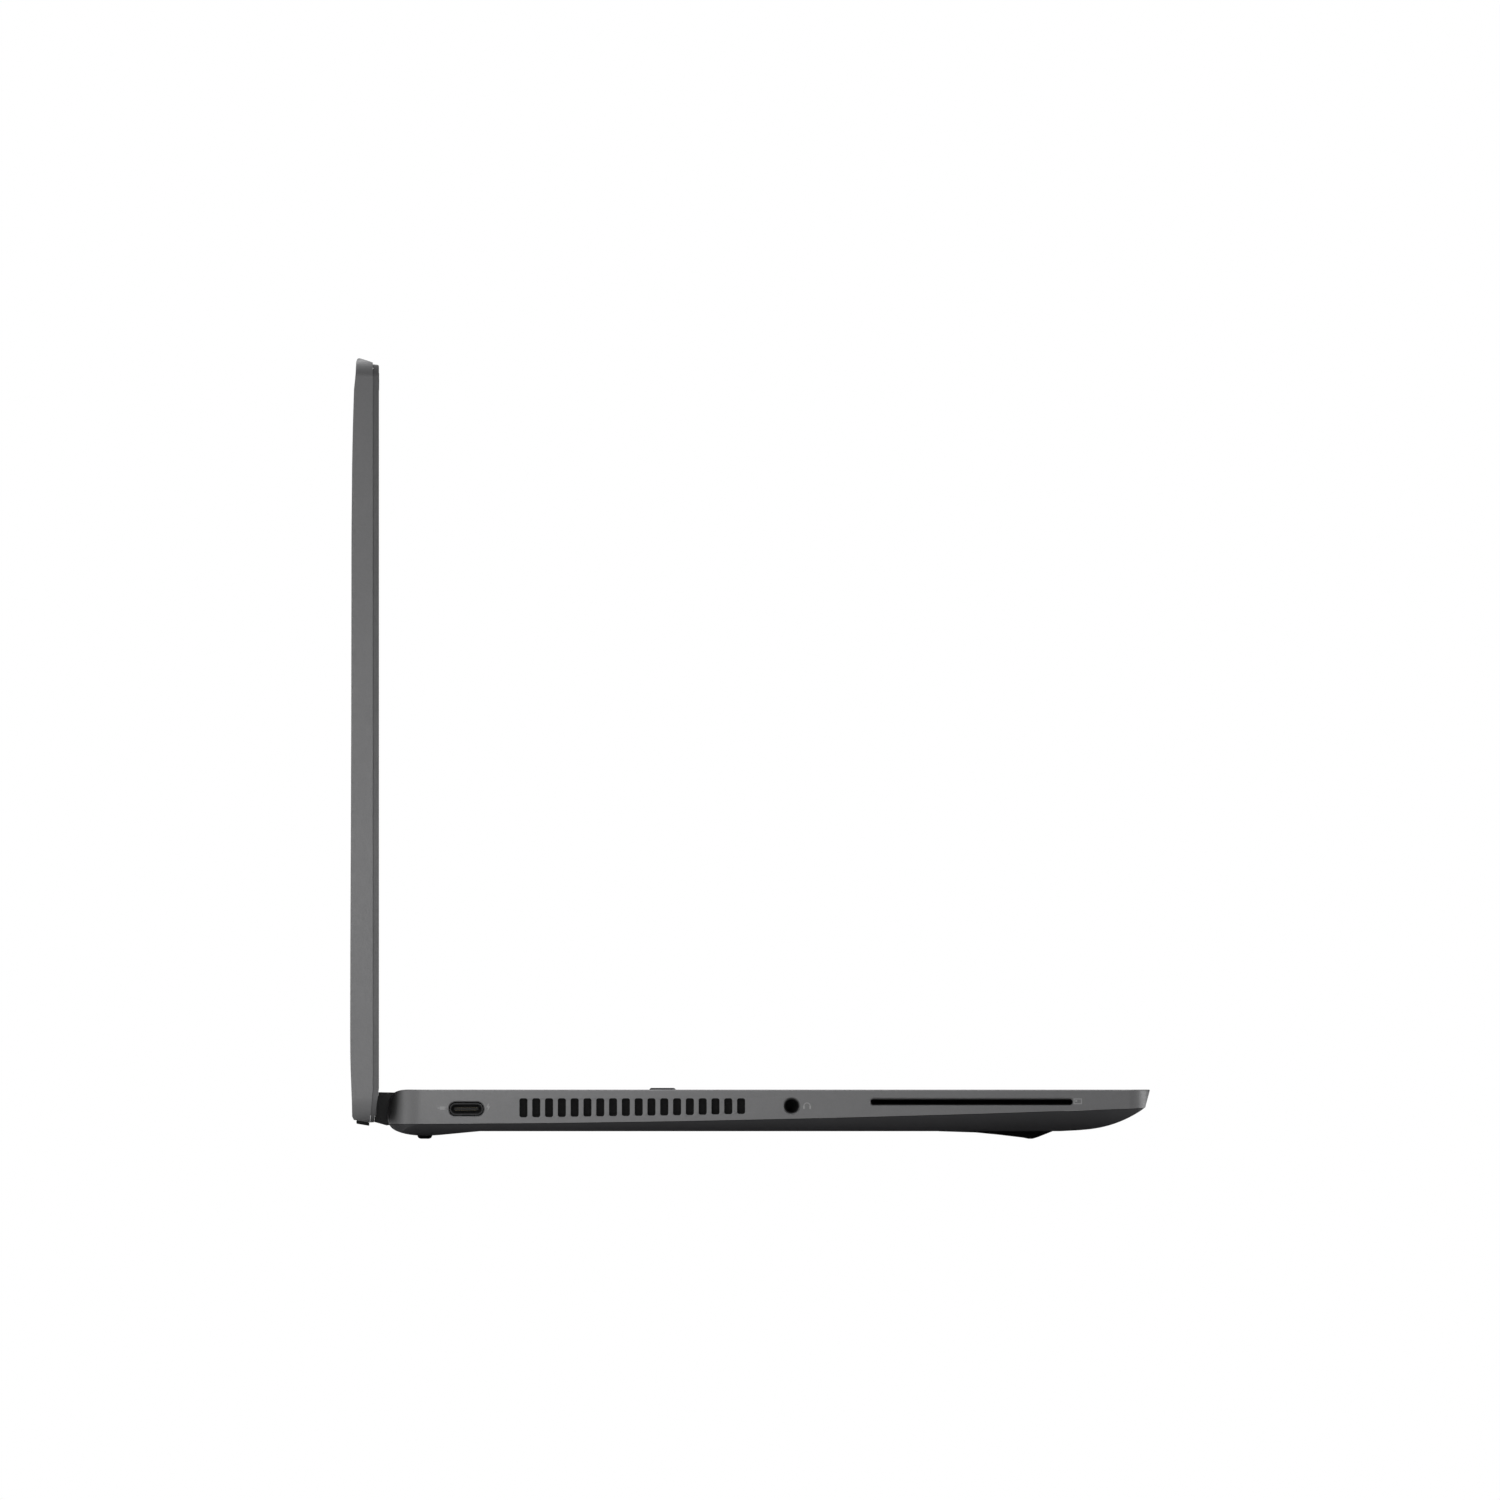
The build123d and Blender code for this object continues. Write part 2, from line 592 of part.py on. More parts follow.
def cover_screw(x, y, head):
    """Flat-headed screw, driven up from below."""
    low = head - SCREW_HEAD_HEIGHT
    shank = post(x, y, (head, head + SCREW_LENGTH), SCREW_SHANK_R)
    socket = post(x, y, (low - 1, low + SCREW_SOCKET_DEPTH), SCREW_SOCKET_R)
    return post(x, y, (low, head), SCREW_HEAD_R) - socket + shank


def feet():
    """Long rubber feet: a wedge under the front and a narrow rail under the rear."""
    rest = base_solid(0)
    wedge = outline(Polyline(
        (-50.5, 2.3), (-51.0, 2.02), (-61.0, 1.7), (-67.6, 1.05), (-73.8, 0.3), (-75.2, 0),
        (-76.3, 0), (-77.8, 0.45), (-81.7, 2.0), (-81.7, 2.3), (-50.5, 2.3),
    ))
    rail = outline(Polyline(
        (85.6, 1.3), (86.2, 0.2), (86.8, 0), (89.0, 0), (89.6, 0.2), (90.2, 1.3), (85.6, 1.3),
    ))
    front = side_prism(wedge, (-FRONT_FOOT_X, FRONT_FOOT_X)) - rest
    rear = side_prism(rail, (-REAR_FOOT_X, REAR_FOOT_X)) - rest
    return front, rear


# ---- keyboard ---------------------------------------------------------------------------
def soften_top(shape, size):
    """Chamfer round the shape's top face."""
    return chamfer(shape.faces().sort_by(Axis.Z)[-1].edges(), size)


@lru_cache
def key_cap(width, depth):
    """Key cap standing on Z = 0, its sides sloping in and its top edge softened."""
    cap = extrude(RectangleRounded(width, depth, KEY_CORNER_R), KEY_HEIGHT, taper=KEY_TAPER)
    return soften_top(cap, KEY_EDGE)


def caps_in_row(units, start, y):
    """Caps of one full-height row; start is its left end in key units."""
    caps = []
    for width in units:
        x = KEYS_LEFT_X + (start + width / 2) * KEY_UNIT
        cap = key_cap(width * KEY_UNIT - KEY_GAP, KEY_PITCH_Y - KEY_GAP)
        caps.append(Pos(x, y, KEY_TOP_Z - KEY_HEIGHT) * cap)
        start += width
    return caps


def row_y(rows_up):
    """Middle of a full-height row, counted up from the bottom row."""
    return BOTTOM_ROW_Y + rows_up * KEY_PITCH_Y


STICK_X = KEYS_LEFT_X + STICK_UNITS * KEY_UNIT
STICK_Y = row_y(1.5)


def clear_of_stick(caps):
    """Caps with room cut for the pointing stick."""
    room = post(STICK_X, STICK_Y, (0, BEYOND), STICK_R + STICK_ROOM)
    return [cap - room for cap in caps]


def function_row():
    """Narrow keys along the top; the last one is the power button."""
    width = ROW_UNITS * KEY_UNIT / FUNCTION_KEY_COUNT
    cap = key_cap(width - KEY_GAP, FUNCTION_KEY_DEPTH)
    spots = [KEYS_LEFT_X + (index + 0.5) * width for index in range(FUNCTION_KEY_COUNT)]
    return [Pos(x, FUNCTION_ROW_Y, KEY_TOP_Z - KEY_HEIGHT) * cap for x in spots]


def arrow_cluster():
    """Half-height arrow keys: left, a stacked pair, and right."""
    depth = (KEY_PITCH_Y - KEY_GAP - ARROW_GAP) / 2
    shift = (depth + ARROW_GAP) / 2
    cap = key_cap(KEY_UNIT - KEY_GAP, depth)
    start = sum(BOTTOM_ROW_LEFT) + SPACE_UNITS + sum(BOTTOM_ROW_RIGHT)
    places = [(0.5, -shift), (1.5, -shift), (1.5, shift), (2.5, -shift)]
    return [
        Pos(KEYS_LEFT_X + (start + across) * KEY_UNIT, BOTTOM_ROW_Y + up, KEY_TOP_Z - KEY_HEIGHT) * cap
        for across, up in places
    ]


def key_nodes():
    """Every key node and its caps."""
    function_caps = function_row()
    space_start = sum(BOTTOM_ROW_LEFT)
    right_start = space_start + SPACE_UNITS
    bottom = caps_in_row(BOTTOM_ROW_LEFT, 0, row_y(0))
    bottom += caps_in_row(BOTTOM_ROW_RIGHT, right_start, row_y(0))
    return {
        "function_keys": function_caps[:-1],
        "power_button": function_caps[-1:],
        "number_keys": caps_in_row(NUMBER_ROW, 0, row_y(4)),
        "upper_letter_keys": caps_in_row(UPPER_ROW, 0, row_y(3)),
        "home_letter_keys": clear_of_stick(caps_in_row(HOME_ROW, 0, row_y(2))),
        "enter_key": caps_in_row([ENTER_UNITS], sum(HOME_ROW), row_y(2)),
        "lower_letter_keys": clear_of_stick(caps_in_row(LOWER_ROW, 0, row_y(1))),
        "bottom_row_keys": bottom,
        "space_bar": caps_in_row([SPACE_UNITS], space_start, row_y(0)),
        "arrow_keys": arrow_cluster(),
    }


def keyboard_frame(caps):
    """Grid round the keys with a skirt that stands on the membrane."""
    reach = KEYBOARD_X - FRAME_ROOM
    y = (KEYBOARD_Y[0] + FRAME_ROOM, KEYBOARD_Y[1] - FRAME_ROOM)
    corner = KEYBOARD_CORNER_R - FRAME_ROOM
    frame = round_slab((-reach, reach), y, (MEMBRANE_Z[1], FRAME_Z[1]), corner)
    skirt, rear_skirt = FRAME_SKIRT
    inside_y = (y[0] + skirt, y[1] - rear_skirt)
    inside_z = (MEMBRANE_Z[1] - 1, FRAME_Z[0])
    frame -= round_slab((skirt - reach, reach - skirt), inside_y, inside_z, KEY_HOLE_R)
    holes = Pos(STICK_X, STICK_Y) * Circle(STICK_R + STICK_ROOM)
    for cap in caps:
        box = cap.bounding_box()
        width = box.size.X + 2 * KEY_HOLE_ROOM
        depth = box.size.Y + 2 * KEY_HOLE_ROOM
        holes += Pos(box.center().X, box.center().Y) * RectangleRounded(width, depth, KEY_HOLE_R)
    return frame - Pos(0, 0, FRAME_Z[0] - 1) * extrude(holes, KEY_HEIGHT)


def pointing_stick():
    """Post with a domed rubber cap."""
    stem = post(STICK_X, STICK_Y, (MEMBRANE_Z[1], STICK_STEM_TOP_Z), STICK_STEM_R)
    cap = post(STICK_X, STICK_Y, STICK_CAP_Z, STICK_R)
    return stem + fillet(cap.edges().sort_by(Axis.Z)[-1:], STICK_DOME)


def keyboard_plate(z):
    """Flat sheet under the keys."""
    reach = KEYBOARD_X - SHEET_ROOM
    y = (KEYBOARD_Y[0] + SHEET_ROOM, KEYBOARD_Y[1] - SHEET_ROOM)
    return round_slab((-reach, reach), y, z, KEY_HOLE_R)


# ---- touchpad ---------------------------------------------------------------------------
def touchpad():
    """Pressing pad."""
    return soften_top(round_slab((-PAD_X, PAD_X), PAD_Y, PAD_Z, PAD_CORNER_R), PAD_EDGE)


def stick_button(side):
    """One of the two buttons above the touchpad; side is -1 left, 1 right."""
    x = tuple(sorted((side * BUTTON_GAP_HALF, side * PAD_X)))
    return soften_top(round_slab(x, BUTTON_Y, BUTTON_Z, BUTTON_CORNER_R), BUTTON_EDGE)


# ---- ports ------------------------------------------------------------------------------
def port_shell(side, y, z, outer, inner, depth):
    """Metal shell open to the outside; side is -1 left, 1 right."""
    origin = (side * (HALF_W - SHELL_SETBACK), y, z)
    plane = Plane(origin=origin, x_dir=(0, 1, 0), z_dir=(-side, 0, 0))
    shell = extrude(plane * RectangleRounded(*outer), depth)
    return shell - extrude(plane * RectangleRounded(*inner), depth - SHELL_BACK)


def port_tongue(side, y, z, width, height, start, end):
    """Contact tongue inside a port, from one depth behind the wall's face to another."""
    x = tuple(sorted((side * (HALF_W - start), side * (HALF_W - end))))
    return slab(x, (y - width / 2, y + width / 2), (z - height / 2, z + height / 2))


def audio_jack():
    """Socket body with its blind bore behind the left wall."""
    half_y, half_z = JACK_HALF
    y = (JACK_Y - half_y, JACK_Y + half_y)
    body = slab((BEHIND_WALL_X, JACK_END_X), y, (JACK_Z - half_z, JACK_Z + half_z))
    collar_x = (-HALF_W + JACK_COLLAR_SETBACK, BEHIND_WALL_X + JACK_COLLAR_ROOT)
    collar = rod_x(collar_x, JACK_Y, JACK_Z, JACK_MOUTH_R - JACK_COLLAR_ROOM)
    return body + collar - rod_x((-HALF_W, JACK_END_X - JACK_BACK), JACK_Y, JACK_Z, JACK_R)


def smart_card_reader():
    """Flat reader frame with a slot that is open to the left wall."""
    y = (CARD_Y - READER_HALF_Y, CARD_Y + READER_HALF_Y)
    slot_y = (CARD_Y - READER_SLOT_HALF_Y, CARD_Y + READER_SLOT_HALF_Y)
    slot_x = (BEHIND_WALL_X - 1, READER_END_X - READER_BACK)
    return slab((BEHIND_WALL_X, READER_END_X), y, READER_Z) - slab(slot_x, slot_y, READER_SLOT_Z)


# ---- inside -----------------------------------------------------------------------------
def drilled(board, places):
    """Board with mounting holes."""
    for x, y in places:
        board -= post(x, y, (0, BEYOND), BOARD_HOLE_R)
    return board


def system_board():
    """Main circuit board with its larger chips."""
    board = slab(*SYSTEM_BOARD[0], BOARD_Z) + slab(*SYSTEM_BOARD[1], BOARD_Z)
    board = drilled(board, SYSTEM_BOARD_HOLES)
    for x, y, height in SYSTEM_CHIPS:
        board += slab(x, y, (BOARD_Z[1], BOARD_Z[1] + height))
    return board


def io_boards():
    """Small boards that carry the side ports."""
    return [drilled(slab(x, y, BOARD_Z), [hole]) for x, y, hole in IO_BOARDS]


def heat_pipe():
    """Flattened pipe from the processor to the fins, in one level."""
    route = FilletPolyline(*PIPE_ROUTE, radius=PIPE_BEND_R)
    return Pos(0, 0, PIPE_Z[0]) * extrude(trace(route, PIPE_WIDTH), PIPE_Z[1] - PIPE_Z[0])


def heatsink_fins():
    """Stack of thin fins joined along the top, with a channel for the heat pipe."""
    stack = slab(FIN_X, FIN_Y, (FIN_Z[1] - FIN_THICKNESS, FIN_Z[1]))
    step = (FIN_Y[1] - FIN_Y[0] - FIN_THICKNESS) / (FIN_COUNT - 1)
    for index in range(FIN_COUNT):
        y = FIN_Y[0] + index * step
        stack += slab(FIN_X, (y, y + FIN_THICKNESS), FIN_Z)
    centre = PIPE_ROUTE[-1][0]
    half = PIPE_WIDTH / 2 + PIPE_ROOM
    channel_z = (PIPE_Z[0] - PIPE_ROOM, PIPE_Z[1] + PIPE_ROOM)
    return stack - slab((centre - half, centre + half), (0, FAN_HOUSING_Y[1]), channel_z)


def fan_housing():
    """Flat blower housing, open to the fins, with intakes above and below and the fan's pin."""
    low, high = FAN_HOUSING_Z[0] + FAN_SKIN, FAN_HOUSING_Z[1] - FAN_SKIN
    inner_x = (FAN_HOUSING_X[0] - 1, FAN_HOUSING_X[1] - 1)
    inner_y = (FAN_HOUSING_Y[0] + FAN_WALL, FAN_HOUSING_Y[1] - FAN_WALL)
    housing = round_slab(FAN_HOUSING_X, FAN_HOUSING_Y, FAN_HOUSING_Z, FAN_HOUSING_CORNER_R)
    housing -= slab(inner_x, inner_y, (low, high))
    housing -= post(FAN_X, FAN_Y, (0, BEYOND), FAN_INTAKE_R)
    housing += post(FAN_X, FAN_Y, (FAN_HOUSING_Z[0], low), FAN_HUB_SEAT_R)
    spoke_x = (FAN_HUB_SEAT_R - 2, FAN_INTAKE_R + 1)
    spoke = slab(spoke_x, (-FAN_SPOKE_HALF, FAN_SPOKE_HALF), (FAN_HOUSING_Z[0], low))
    for angle in (90, 210, 330):
        housing += Pos(FAN_X, FAN_Y, 0) * Rot(0, 0, angle) * spoke
    return housing + post(FAN_X, FAN_Y, (FAN_HOUSING_Z[0], FAN_PIN_TOP_Z), FAN_PIN_R)


def fan_impeller():
    """Hub, thin swept blades and a tie ring, bored for the pin."""
    fan = post(FAN_X, FAN_Y, FAN_Z, FAN_HUB_R)
    blade = Pos(0, BLADE_OFFSET, 0) * slab((FAN_HUB_R - 0.5, FAN_R), (-BLADE_HALF, BLADE_HALF), FAN_Z)
    for index in range(BLADE_COUNT):
        fan += Pos(FAN_X, FAN_Y, 0) * Rot(0, 0, 360 / BLADE_COUNT * index) * blade
    ring = post(FAN_X, FAN_Y, FAN_RING_Z, FAN_RING_R[1])
    fan += ring - post(FAN_X, FAN_Y, FAN_RING_Z, FAN_RING_R[0])
    return fan - post(FAN_X, FAN_Y, (0, FAN_PIN_TOP_Z + FAN_PIN_ROOM), FAN_PIN_R + SHAFT_CLEARANCE)


def battery_pack():
    """Three flat cells in one wrap, with shallow grooves between them."""
    pack = round_slab(BATTERY_X, BATTERY_Y, (FLOOR_Z, BATTERY_TOP_Z), SOFT_CORNER_R)
    half, depth = BATTERY_GROOVE
    y = (BATTERY_Y[0] + SOFT_CORNER_R, BATTERY_Y[1] - SOFT_CORNER_R)
    for x in BATTERY_GROOVES_X:
        pack -= slab((x - half, x + half), y, (BATTERY_TOP_Z - depth, BATTERY_TOP_Z + 1))
    return pack


def board_card(x, y, z, chips, chip_height):
    """Plug-in card with a row of chips along X."""
    top = z + CARD_THICKNESS
    card = slab(x, y, (z, top))
    step = (x[1] - x[0]) / chips
    chip_y = (y[0] + CHIP_MARGIN[1], y[1] - CHIP_MARGIN[1])
    for index in range(chips):
        left = x[0] + index * step
        card += slab((left + CHIP_MARGIN[0], left + step - CHIP_MARGIN[0]), chip_y, (top, top + chip_height))
    return card


def speaker(x, y, z):
    """Sealed speaker box with a shallow cone recess on its underside."""
    box = round_slab(x, y, z, SOFT_CORNER_R)
    recess = (z[0] - 1, z[0] + CONE_DEPTH)
    return box - post((x[0] + x[1]) / 2, (y[0] + y[1]) / 2, recess, CONE_R)


# ---- hinge ------------------------------------------------------------------------------
def hinge_bracket():
    """Right-hand bracket: a plate on two posts and the knuckle that holds the shaft."""
    bracket = slab(BRACKET_X, BRACKET_Y, BRACKET_Z) + rod_x(KNUCKLE_X, HINGE_Y, HINGE_Z, KNUCKLE_R)
    bracket -= rod_x((BRACKET_X[0] - 1, NOTCH_X[0]), HINGE_Y, HINGE_Z, SHAFT_R + SHAFT_CLEARANCE)
    for x, y in BRACKET_POSTS:
        bracket -= post(x, y, (0, BEYOND), BRACKET_HOLE_R)
    return bracket


def bracket_screws():
    """Right-hand screws that hold the bracket down."""
    top = BRACKET_Z[1]
    head_r, head_height = BRACKET_SCREW_HEAD
    return [
        post(x, y, (top, top + head_height), head_r) + post(x, y, (BRACKET_SCREW_LOW_Z, top), BRACKET_SCREW_R)
        for x, y in BRACKET_POSTS
    ]


def hinge_arm_section(grow):
    """Y-Z outline of the lid leaf's arm, or of the room for it."""
    half = ARM_HALF + grow
    near_low, near_high = (HINGE_Y, HINGE_Z - half), (HINGE_Y, HINGE_Z + half)
    far_low, far_high = (LEAF_Y[1], ARM_END_Z[0] - grow), (LEAF_Y[1], ARM_END_Z[1] + grow)
    sides = Polyline(near_low, far_low, far_high, near_high)
    return outline(sides, ThreePointArc(near_high, (HINGE_Y - half, HINGE_Z), near_low))


def hinge_arm_room():
    """Space that the cap and the bezel leave round the right-hand arm."""
    return side_prism(hinge_arm_section(ARM_SKIN_ROOM), (ARM_X[0] - ARM_ROOM, ARM_X[1] + ARM_ROOM))


def hinge_leaf():
    """Right-hand lid leaf: plate in the lid, arm and shaft in one piece."""
    plate = slab(LEAF_X, LEAF_Y, (ARM_END_Z[0], LEAF_TOP_Z))
    for x, z in LEAF_HOLES:
        plate -= rod_y(x, (LEAF_Y[0] - 1, LEAF_Y[1] + 1), z, LEAF_HOLE_R)
    shaft = rod_x((KNUCKLE_X[0] + 0.5, SHAFT_END_X), HINGE_Y, HINGE_Z, SHAFT_R)
    return plate + side_prism(hinge_arm_section(0), ARM_X) + shaft


def hinge_cap():
    """Right-hand cover round the hinge arm, fixed to the lid."""
    top_z, low_z = WEB_Z
    web = outline(Polyline(
        (HINGE_Y, HINGE_Z + BARREL_R), (bezel_front_y(top_z) - WEB_ROOM, top_z),
        (bezel_front_y(low_z) - WEB_ROOM, low_z), WEB_HEEL,
        (HINGE_Y, HINGE_Z - BARREL_R), (HINGE_Y, HINGE_Z + BARREL_R),
    ))
    cap = rod_x(CAP_X, HINGE_Y, HINGE_Z, BARREL_R) + side_prism(web, CAP_X) - hinge_arm_room()
    bore_x = (BRACKET_X[1] - 1, SHAFT_END_X + CAP_CLEARANCE)
    return cap - rod_x(bore_x, HINGE_Y, HINGE_Z, SHAFT_R + SHAFT_CLEARANCE)


# ---- lid --------------------------------------------------------------------------------
def bezel_front_y(z):
    """Front face of the bezel, slanting back below the chin line."""
    return SCREEN_Y + max(0.0, CHIN_Z - z) * CHIN_SLANT


def lid_plan(inset):
    """Lid seen from the front, as a prism along Y."""
    low, high = LID_BOTTOM_Z - 1, LID_TOP_Z + 1
    plan = Pos(0, (low + high) / 2) * Rectangle(2 * (HALF_W - inset), high - low - 2 * inset)
    by_height = plan.vertices().sort_by(Axis.Y)
    plan = fillet(by_height[:2], LID_LOW_CORNER_R - inset)
    plan = fillet(plan.vertices().sort_by(Axis.Y)[-2:], LID_CORNER_R - inset)
    return Pos(0, BEYOND_LID_Y, 0) * extrude(Plane.XZ * plan, 2 * BEYOND)


def lid_back_section():
    """Side outline of the back cover."""
    top = Polyline((LID_SEAM_Y, 209.8), (103.7, 210.45), (105.5, LID_TOP_Z))
    crown = Spline((105.5, LID_TOP_Z), (106.5, 208.9), (107.07, 202.4), tangents=[(1, 0.1), (0.1, -1)])
    back = Spline(
        (107.07, 202.4), (107.5, 186.0), (107.75, 130.0), (107.95, 80.0), (108.08, 35.0),
        (108.0, 20.0), (107.65, 10.5),
    )
    heel = Polyline(
        (107.65, 10.5), (107.55, 6.0), (107.1, 5.1), (102.75, LID_BOTTOM_Z),
        (LID_SEAM_Y, CHIN_SEAM_Z), (LID_SEAM_Y, 209.8),
    )
    return outline(top, crown, back, heel)


def lid_back_cover():
    """Bowed metal tray behind the display."""
    cover = side_prism(lid_back_section(), (-HALF_W - 1, HALF_W + 1)) & lid_plan(0)
    room = lid_plan(LID_WALL)
    inside_x = (LID_WALL - HALF_W, HALF_W - LID_WALL)
    front = SCREEN_Y - 1
    cover -= slab(inside_x, (front, POCKET_Y[0]), (POCKET_Z[0], POCKET_STEP_Z)) & room
    cover -= slab(inside_x, (front, POCKET_Y[1]), (POCKET_STEP_Z - 1, POCKET_Z[1])) & room
    for pad in both_sides(slab(REST_PAD_X, (BEZEL_BACK_Y, LID_SEAM_Y + 1), REST_PAD_Z)):
        cover += pad
    return cover


def bezel_section():
    """Side outline of the bezel, its top corner rounded over."""
    low_front = (bezel_front_y(BEZEL_LOW_Z), BEZEL_LOW_Z)
    front = Polyline(low_front, (SCREEN_Y, CHIN_Z), (SCREEN_Y, 208.7))
    corner = Spline((SCREEN_Y, 208.7), (SCREEN_Y + 0.5, 209.2), tangents=[(0, 1), (1, 0.1)])
    back = Polyline(
        (SCREEN_Y + 0.5, 209.2), (BEZEL_BACK_Y, 209.3), (BEZEL_BACK_Y, CHIN_SEAM_Z),
        (102.72, 4.4), low_front,
    )
    return outline(front, corner, back)


def bezel_lips():
    """Lips along both sides that stand inside the back cover."""
    outer = LID_WALL + LIP_ROOM
    band = lid_plan(outer) - lid_plan(outer + LIP_THICKNESS)
    z = (POCKET_Z[0] + LIP_ROOM, POCKET_Z[1] - LIP_ROOM)
    return both_sides(slab((HALF_W / 2, HALF_W), LIP_Y, z) & band)


def display_bezel():
    """Plastic frame round the display, hollow behind its face."""
    bezel = side_prism(bezel_section(), (-HALF_W - 1, HALF_W + 1)) & lid_plan(BEZEL_PLAN_INSET)
    recess_y = (SCREEN_Y + BEZEL_FACE, BEYOND_LID_Y)
    bezel -= slab((-BEZEL_RECESS_X, BEZEL_RECESS_X), recess_y, BEZEL_RECESS_Z)
    for lip in bezel_lips():
        bezel += lip
    through_y = (SCREEN_Y - 1, BEYOND_LID_Y)
    bezel -= slab((-WINDOW_X, WINDOW_X), through_y, WINDOW_Z)
    for room in both_sides(hinge_arm_room()):
        bezel -= room
    bezel -= rod_y(0, through_y, CAMERA_Z, CAMERA_SIGHT_R)
    slot_x, half = NUB_SLOT
    return bezel - slab(slot_x, through_y, (CAMERA_Z - half, CAMERA_Z + half))


def camera_module():
    """Camera's board with its lens."""
    front = CAMERA_BOARD[1][0]
    lens = rod_y(0, (front - LENS_LENGTH, front), CAMERA_Z, LENS_R)
    recess = rod_y(0, (front - LENS_LENGTH, front - LENS_LENGTH + LENS_RECESS), CAMERA_Z, LENS_GLASS_R)
    return slab(*CAMERA_BOARD) + lens - recess


def camera_shutter():
    """Thin plate with a sight hole and a finger nub that stands through the bezel."""
    plate = slab(SHUTTER_X, SHUTTER_Y, (CAMERA_Z - SHUTTER_HALF_Z, CAMERA_Z + SHUTTER_HALF_Z))
    plate -= rod_y(0, (SHUTTER_Y[0] - 1, SHUTTER_Y[1] + 1), CAMERA_Z, SHUTTER_HOLE_R)
    nub_z = (CAMERA_Z - NUB_HALF_Z, CAMERA_Z + NUB_HALF_Z)
    return plate + slab(NUB_X, (NUB_FRONT_Y, SHUTTER_Y[1]), nub_z)


def lid_rubber_strip():
    """Strip along the lid's lower edge that meets the table when the lid is opened wide."""
    section = outline(Polyline(
        (102.9, 3.5), (106.4, 4.08), (106.4, 5.6), (102.9, 5.2), (102.9, 3.5),
    ))
    strip = side_prism(section, (-RUBBER_STRIP_X, RUBBER_STRIP_X))
    for neighbour in (lid_back_section(), bezel_section()):
        strip -= side_prism(neighbour, (-HALF_W, HALF_W))
    return strip


# ---- write the nodes --------------------------------------------------------------------
def make_base():
    shell = base_shell()
    front, rear = feet()
    save("palmrest_top_case", palmrest_top_case(shell))
    save("bottom_cover", bottom_cover(shell))
    save("front_foot", front)
    save("rear_foot", rear)
    save("bottom_cover_screws", *[cover_screw(x, y, head) for x, y, head, boss in screw_places()])


def make_keyboard():
    nodes = key_nodes()
    for name, group in nodes.items():
        save(name, *group)
    save("keyboard_frame", keyboard_frame([cap for group in nodes.values() for cap in group]))
    save("pointing_stick", pointing_stick())
    save("keyboard_membrane", keyboard_plate(MEMBRANE_Z))
    save("keyboard_support_plate", keyboard_plate(SUPPORT_Z))


def make_touchpad():
    save("touchpad", touchpad())
    save("stick_button_left", stick_button(-1))
    save("stick_button_right", stick_button(1))
    save("touchpad_bracket", slab(*PAD_BRACKET))
    save("button_board", slab(*BUTTON_BOARD))


def make_ports():
    save("usb_c_shell", port_shell(-1, USB_C_Y, USB_C_Z, *USB_C_SHELL))
    save("usb_c_tongue", port_tongue(-1, USB_C_Y, USB_C_Z, *USB_C_TONGUE))
    save("audio_jack", audio_jack())
    save("smart_card_reader", smart_card_reader())
    save("hdmi_shell", port_shell(1, HDMI_Y, HDMI_Z, *HDMI_SHELL))
    save("hdmi_tongue", port_tongue(1, HDMI_Y, HDMI_Z + HDMI_TONGUE_RISE, *HDMI_TONGUE))
    save("usb_a_shell", port_shell(1, USB_A_Y, USB_A_Z, *USB_A_SHELL))
    save("usb_a_tongue", port_tongue(1, USB_A_Y, USB_A_Z + USB_A_TONGUE_RISE, *USB_A_TONGUE))


def make_inside():
    save("system_board", system_board())
    save("io_boards", *io_boards())
    save("processor", slab(*PROCESSOR))
    save("cold_plate", slab(*COLD_PLATE))
    save("heat_pipe", heat_pipe())
    save("heatsink_fins", heatsink_fins())
    save("fan_housing", fan_housing())
    save("fan_impeller", fan_impeller())
    save("battery_pack", battery_pack())
    save("solid_state_drive", board_card(*DRIVE))
    save("memory_module", board_card(*MEMORY))
    save("wireless_card", board_card(*RADIO))
    save("coin_cell", post(*COIN_CELL))
    save("speaker_left", speaker(*SPEAKER_LEFT))
    save("speaker_right", speaker(*SPEAKER_RIGHT))


def make_hinges():
    save("hinge_base_brackets", *both_sides(hinge_bracket()))
    save("bracket_screws", *[side for screw in bracket_screws() for side in both_sides(screw)])
    save("hinge_leaves", *both_sides(hinge_leaf()))
    save("hinge_caps", *both_sides(hinge_cap()))


def make_lid():
    save("lid_back_cover", lid_back_cover())
    save("display_bezel", display_bezel())
    save("screen_glass", slab((-PANEL_X, PANEL_X), GLASS_Y, PANEL_Z))
    save("backlight_unit", slab((-PANEL_X, PANEL_X), BACKLIGHT_Y, PANEL_Z) + slab(*PANEL_BOARD))
    save("camera_module", camera_module())
    save("camera_shutter", camera_shutter())
    save("antenna_boards", *both_sides(slab(*ANTENNA_BOARD)))
    save("lid_rubber_strip", lid_rubber_strip())


make_base()
make_keyboard()
make_touchpad()
make_ports()
make_inside()
make_hinges()
make_lid()
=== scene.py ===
"""Looks of the thin laptop computer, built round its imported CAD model.

Metres, in the CAD model's frame: +X is the user's right, -Y faces the user and +Z is up.
"""
import json
import math

import bmesh
import bpy
from mathutils import Matrix, Vector


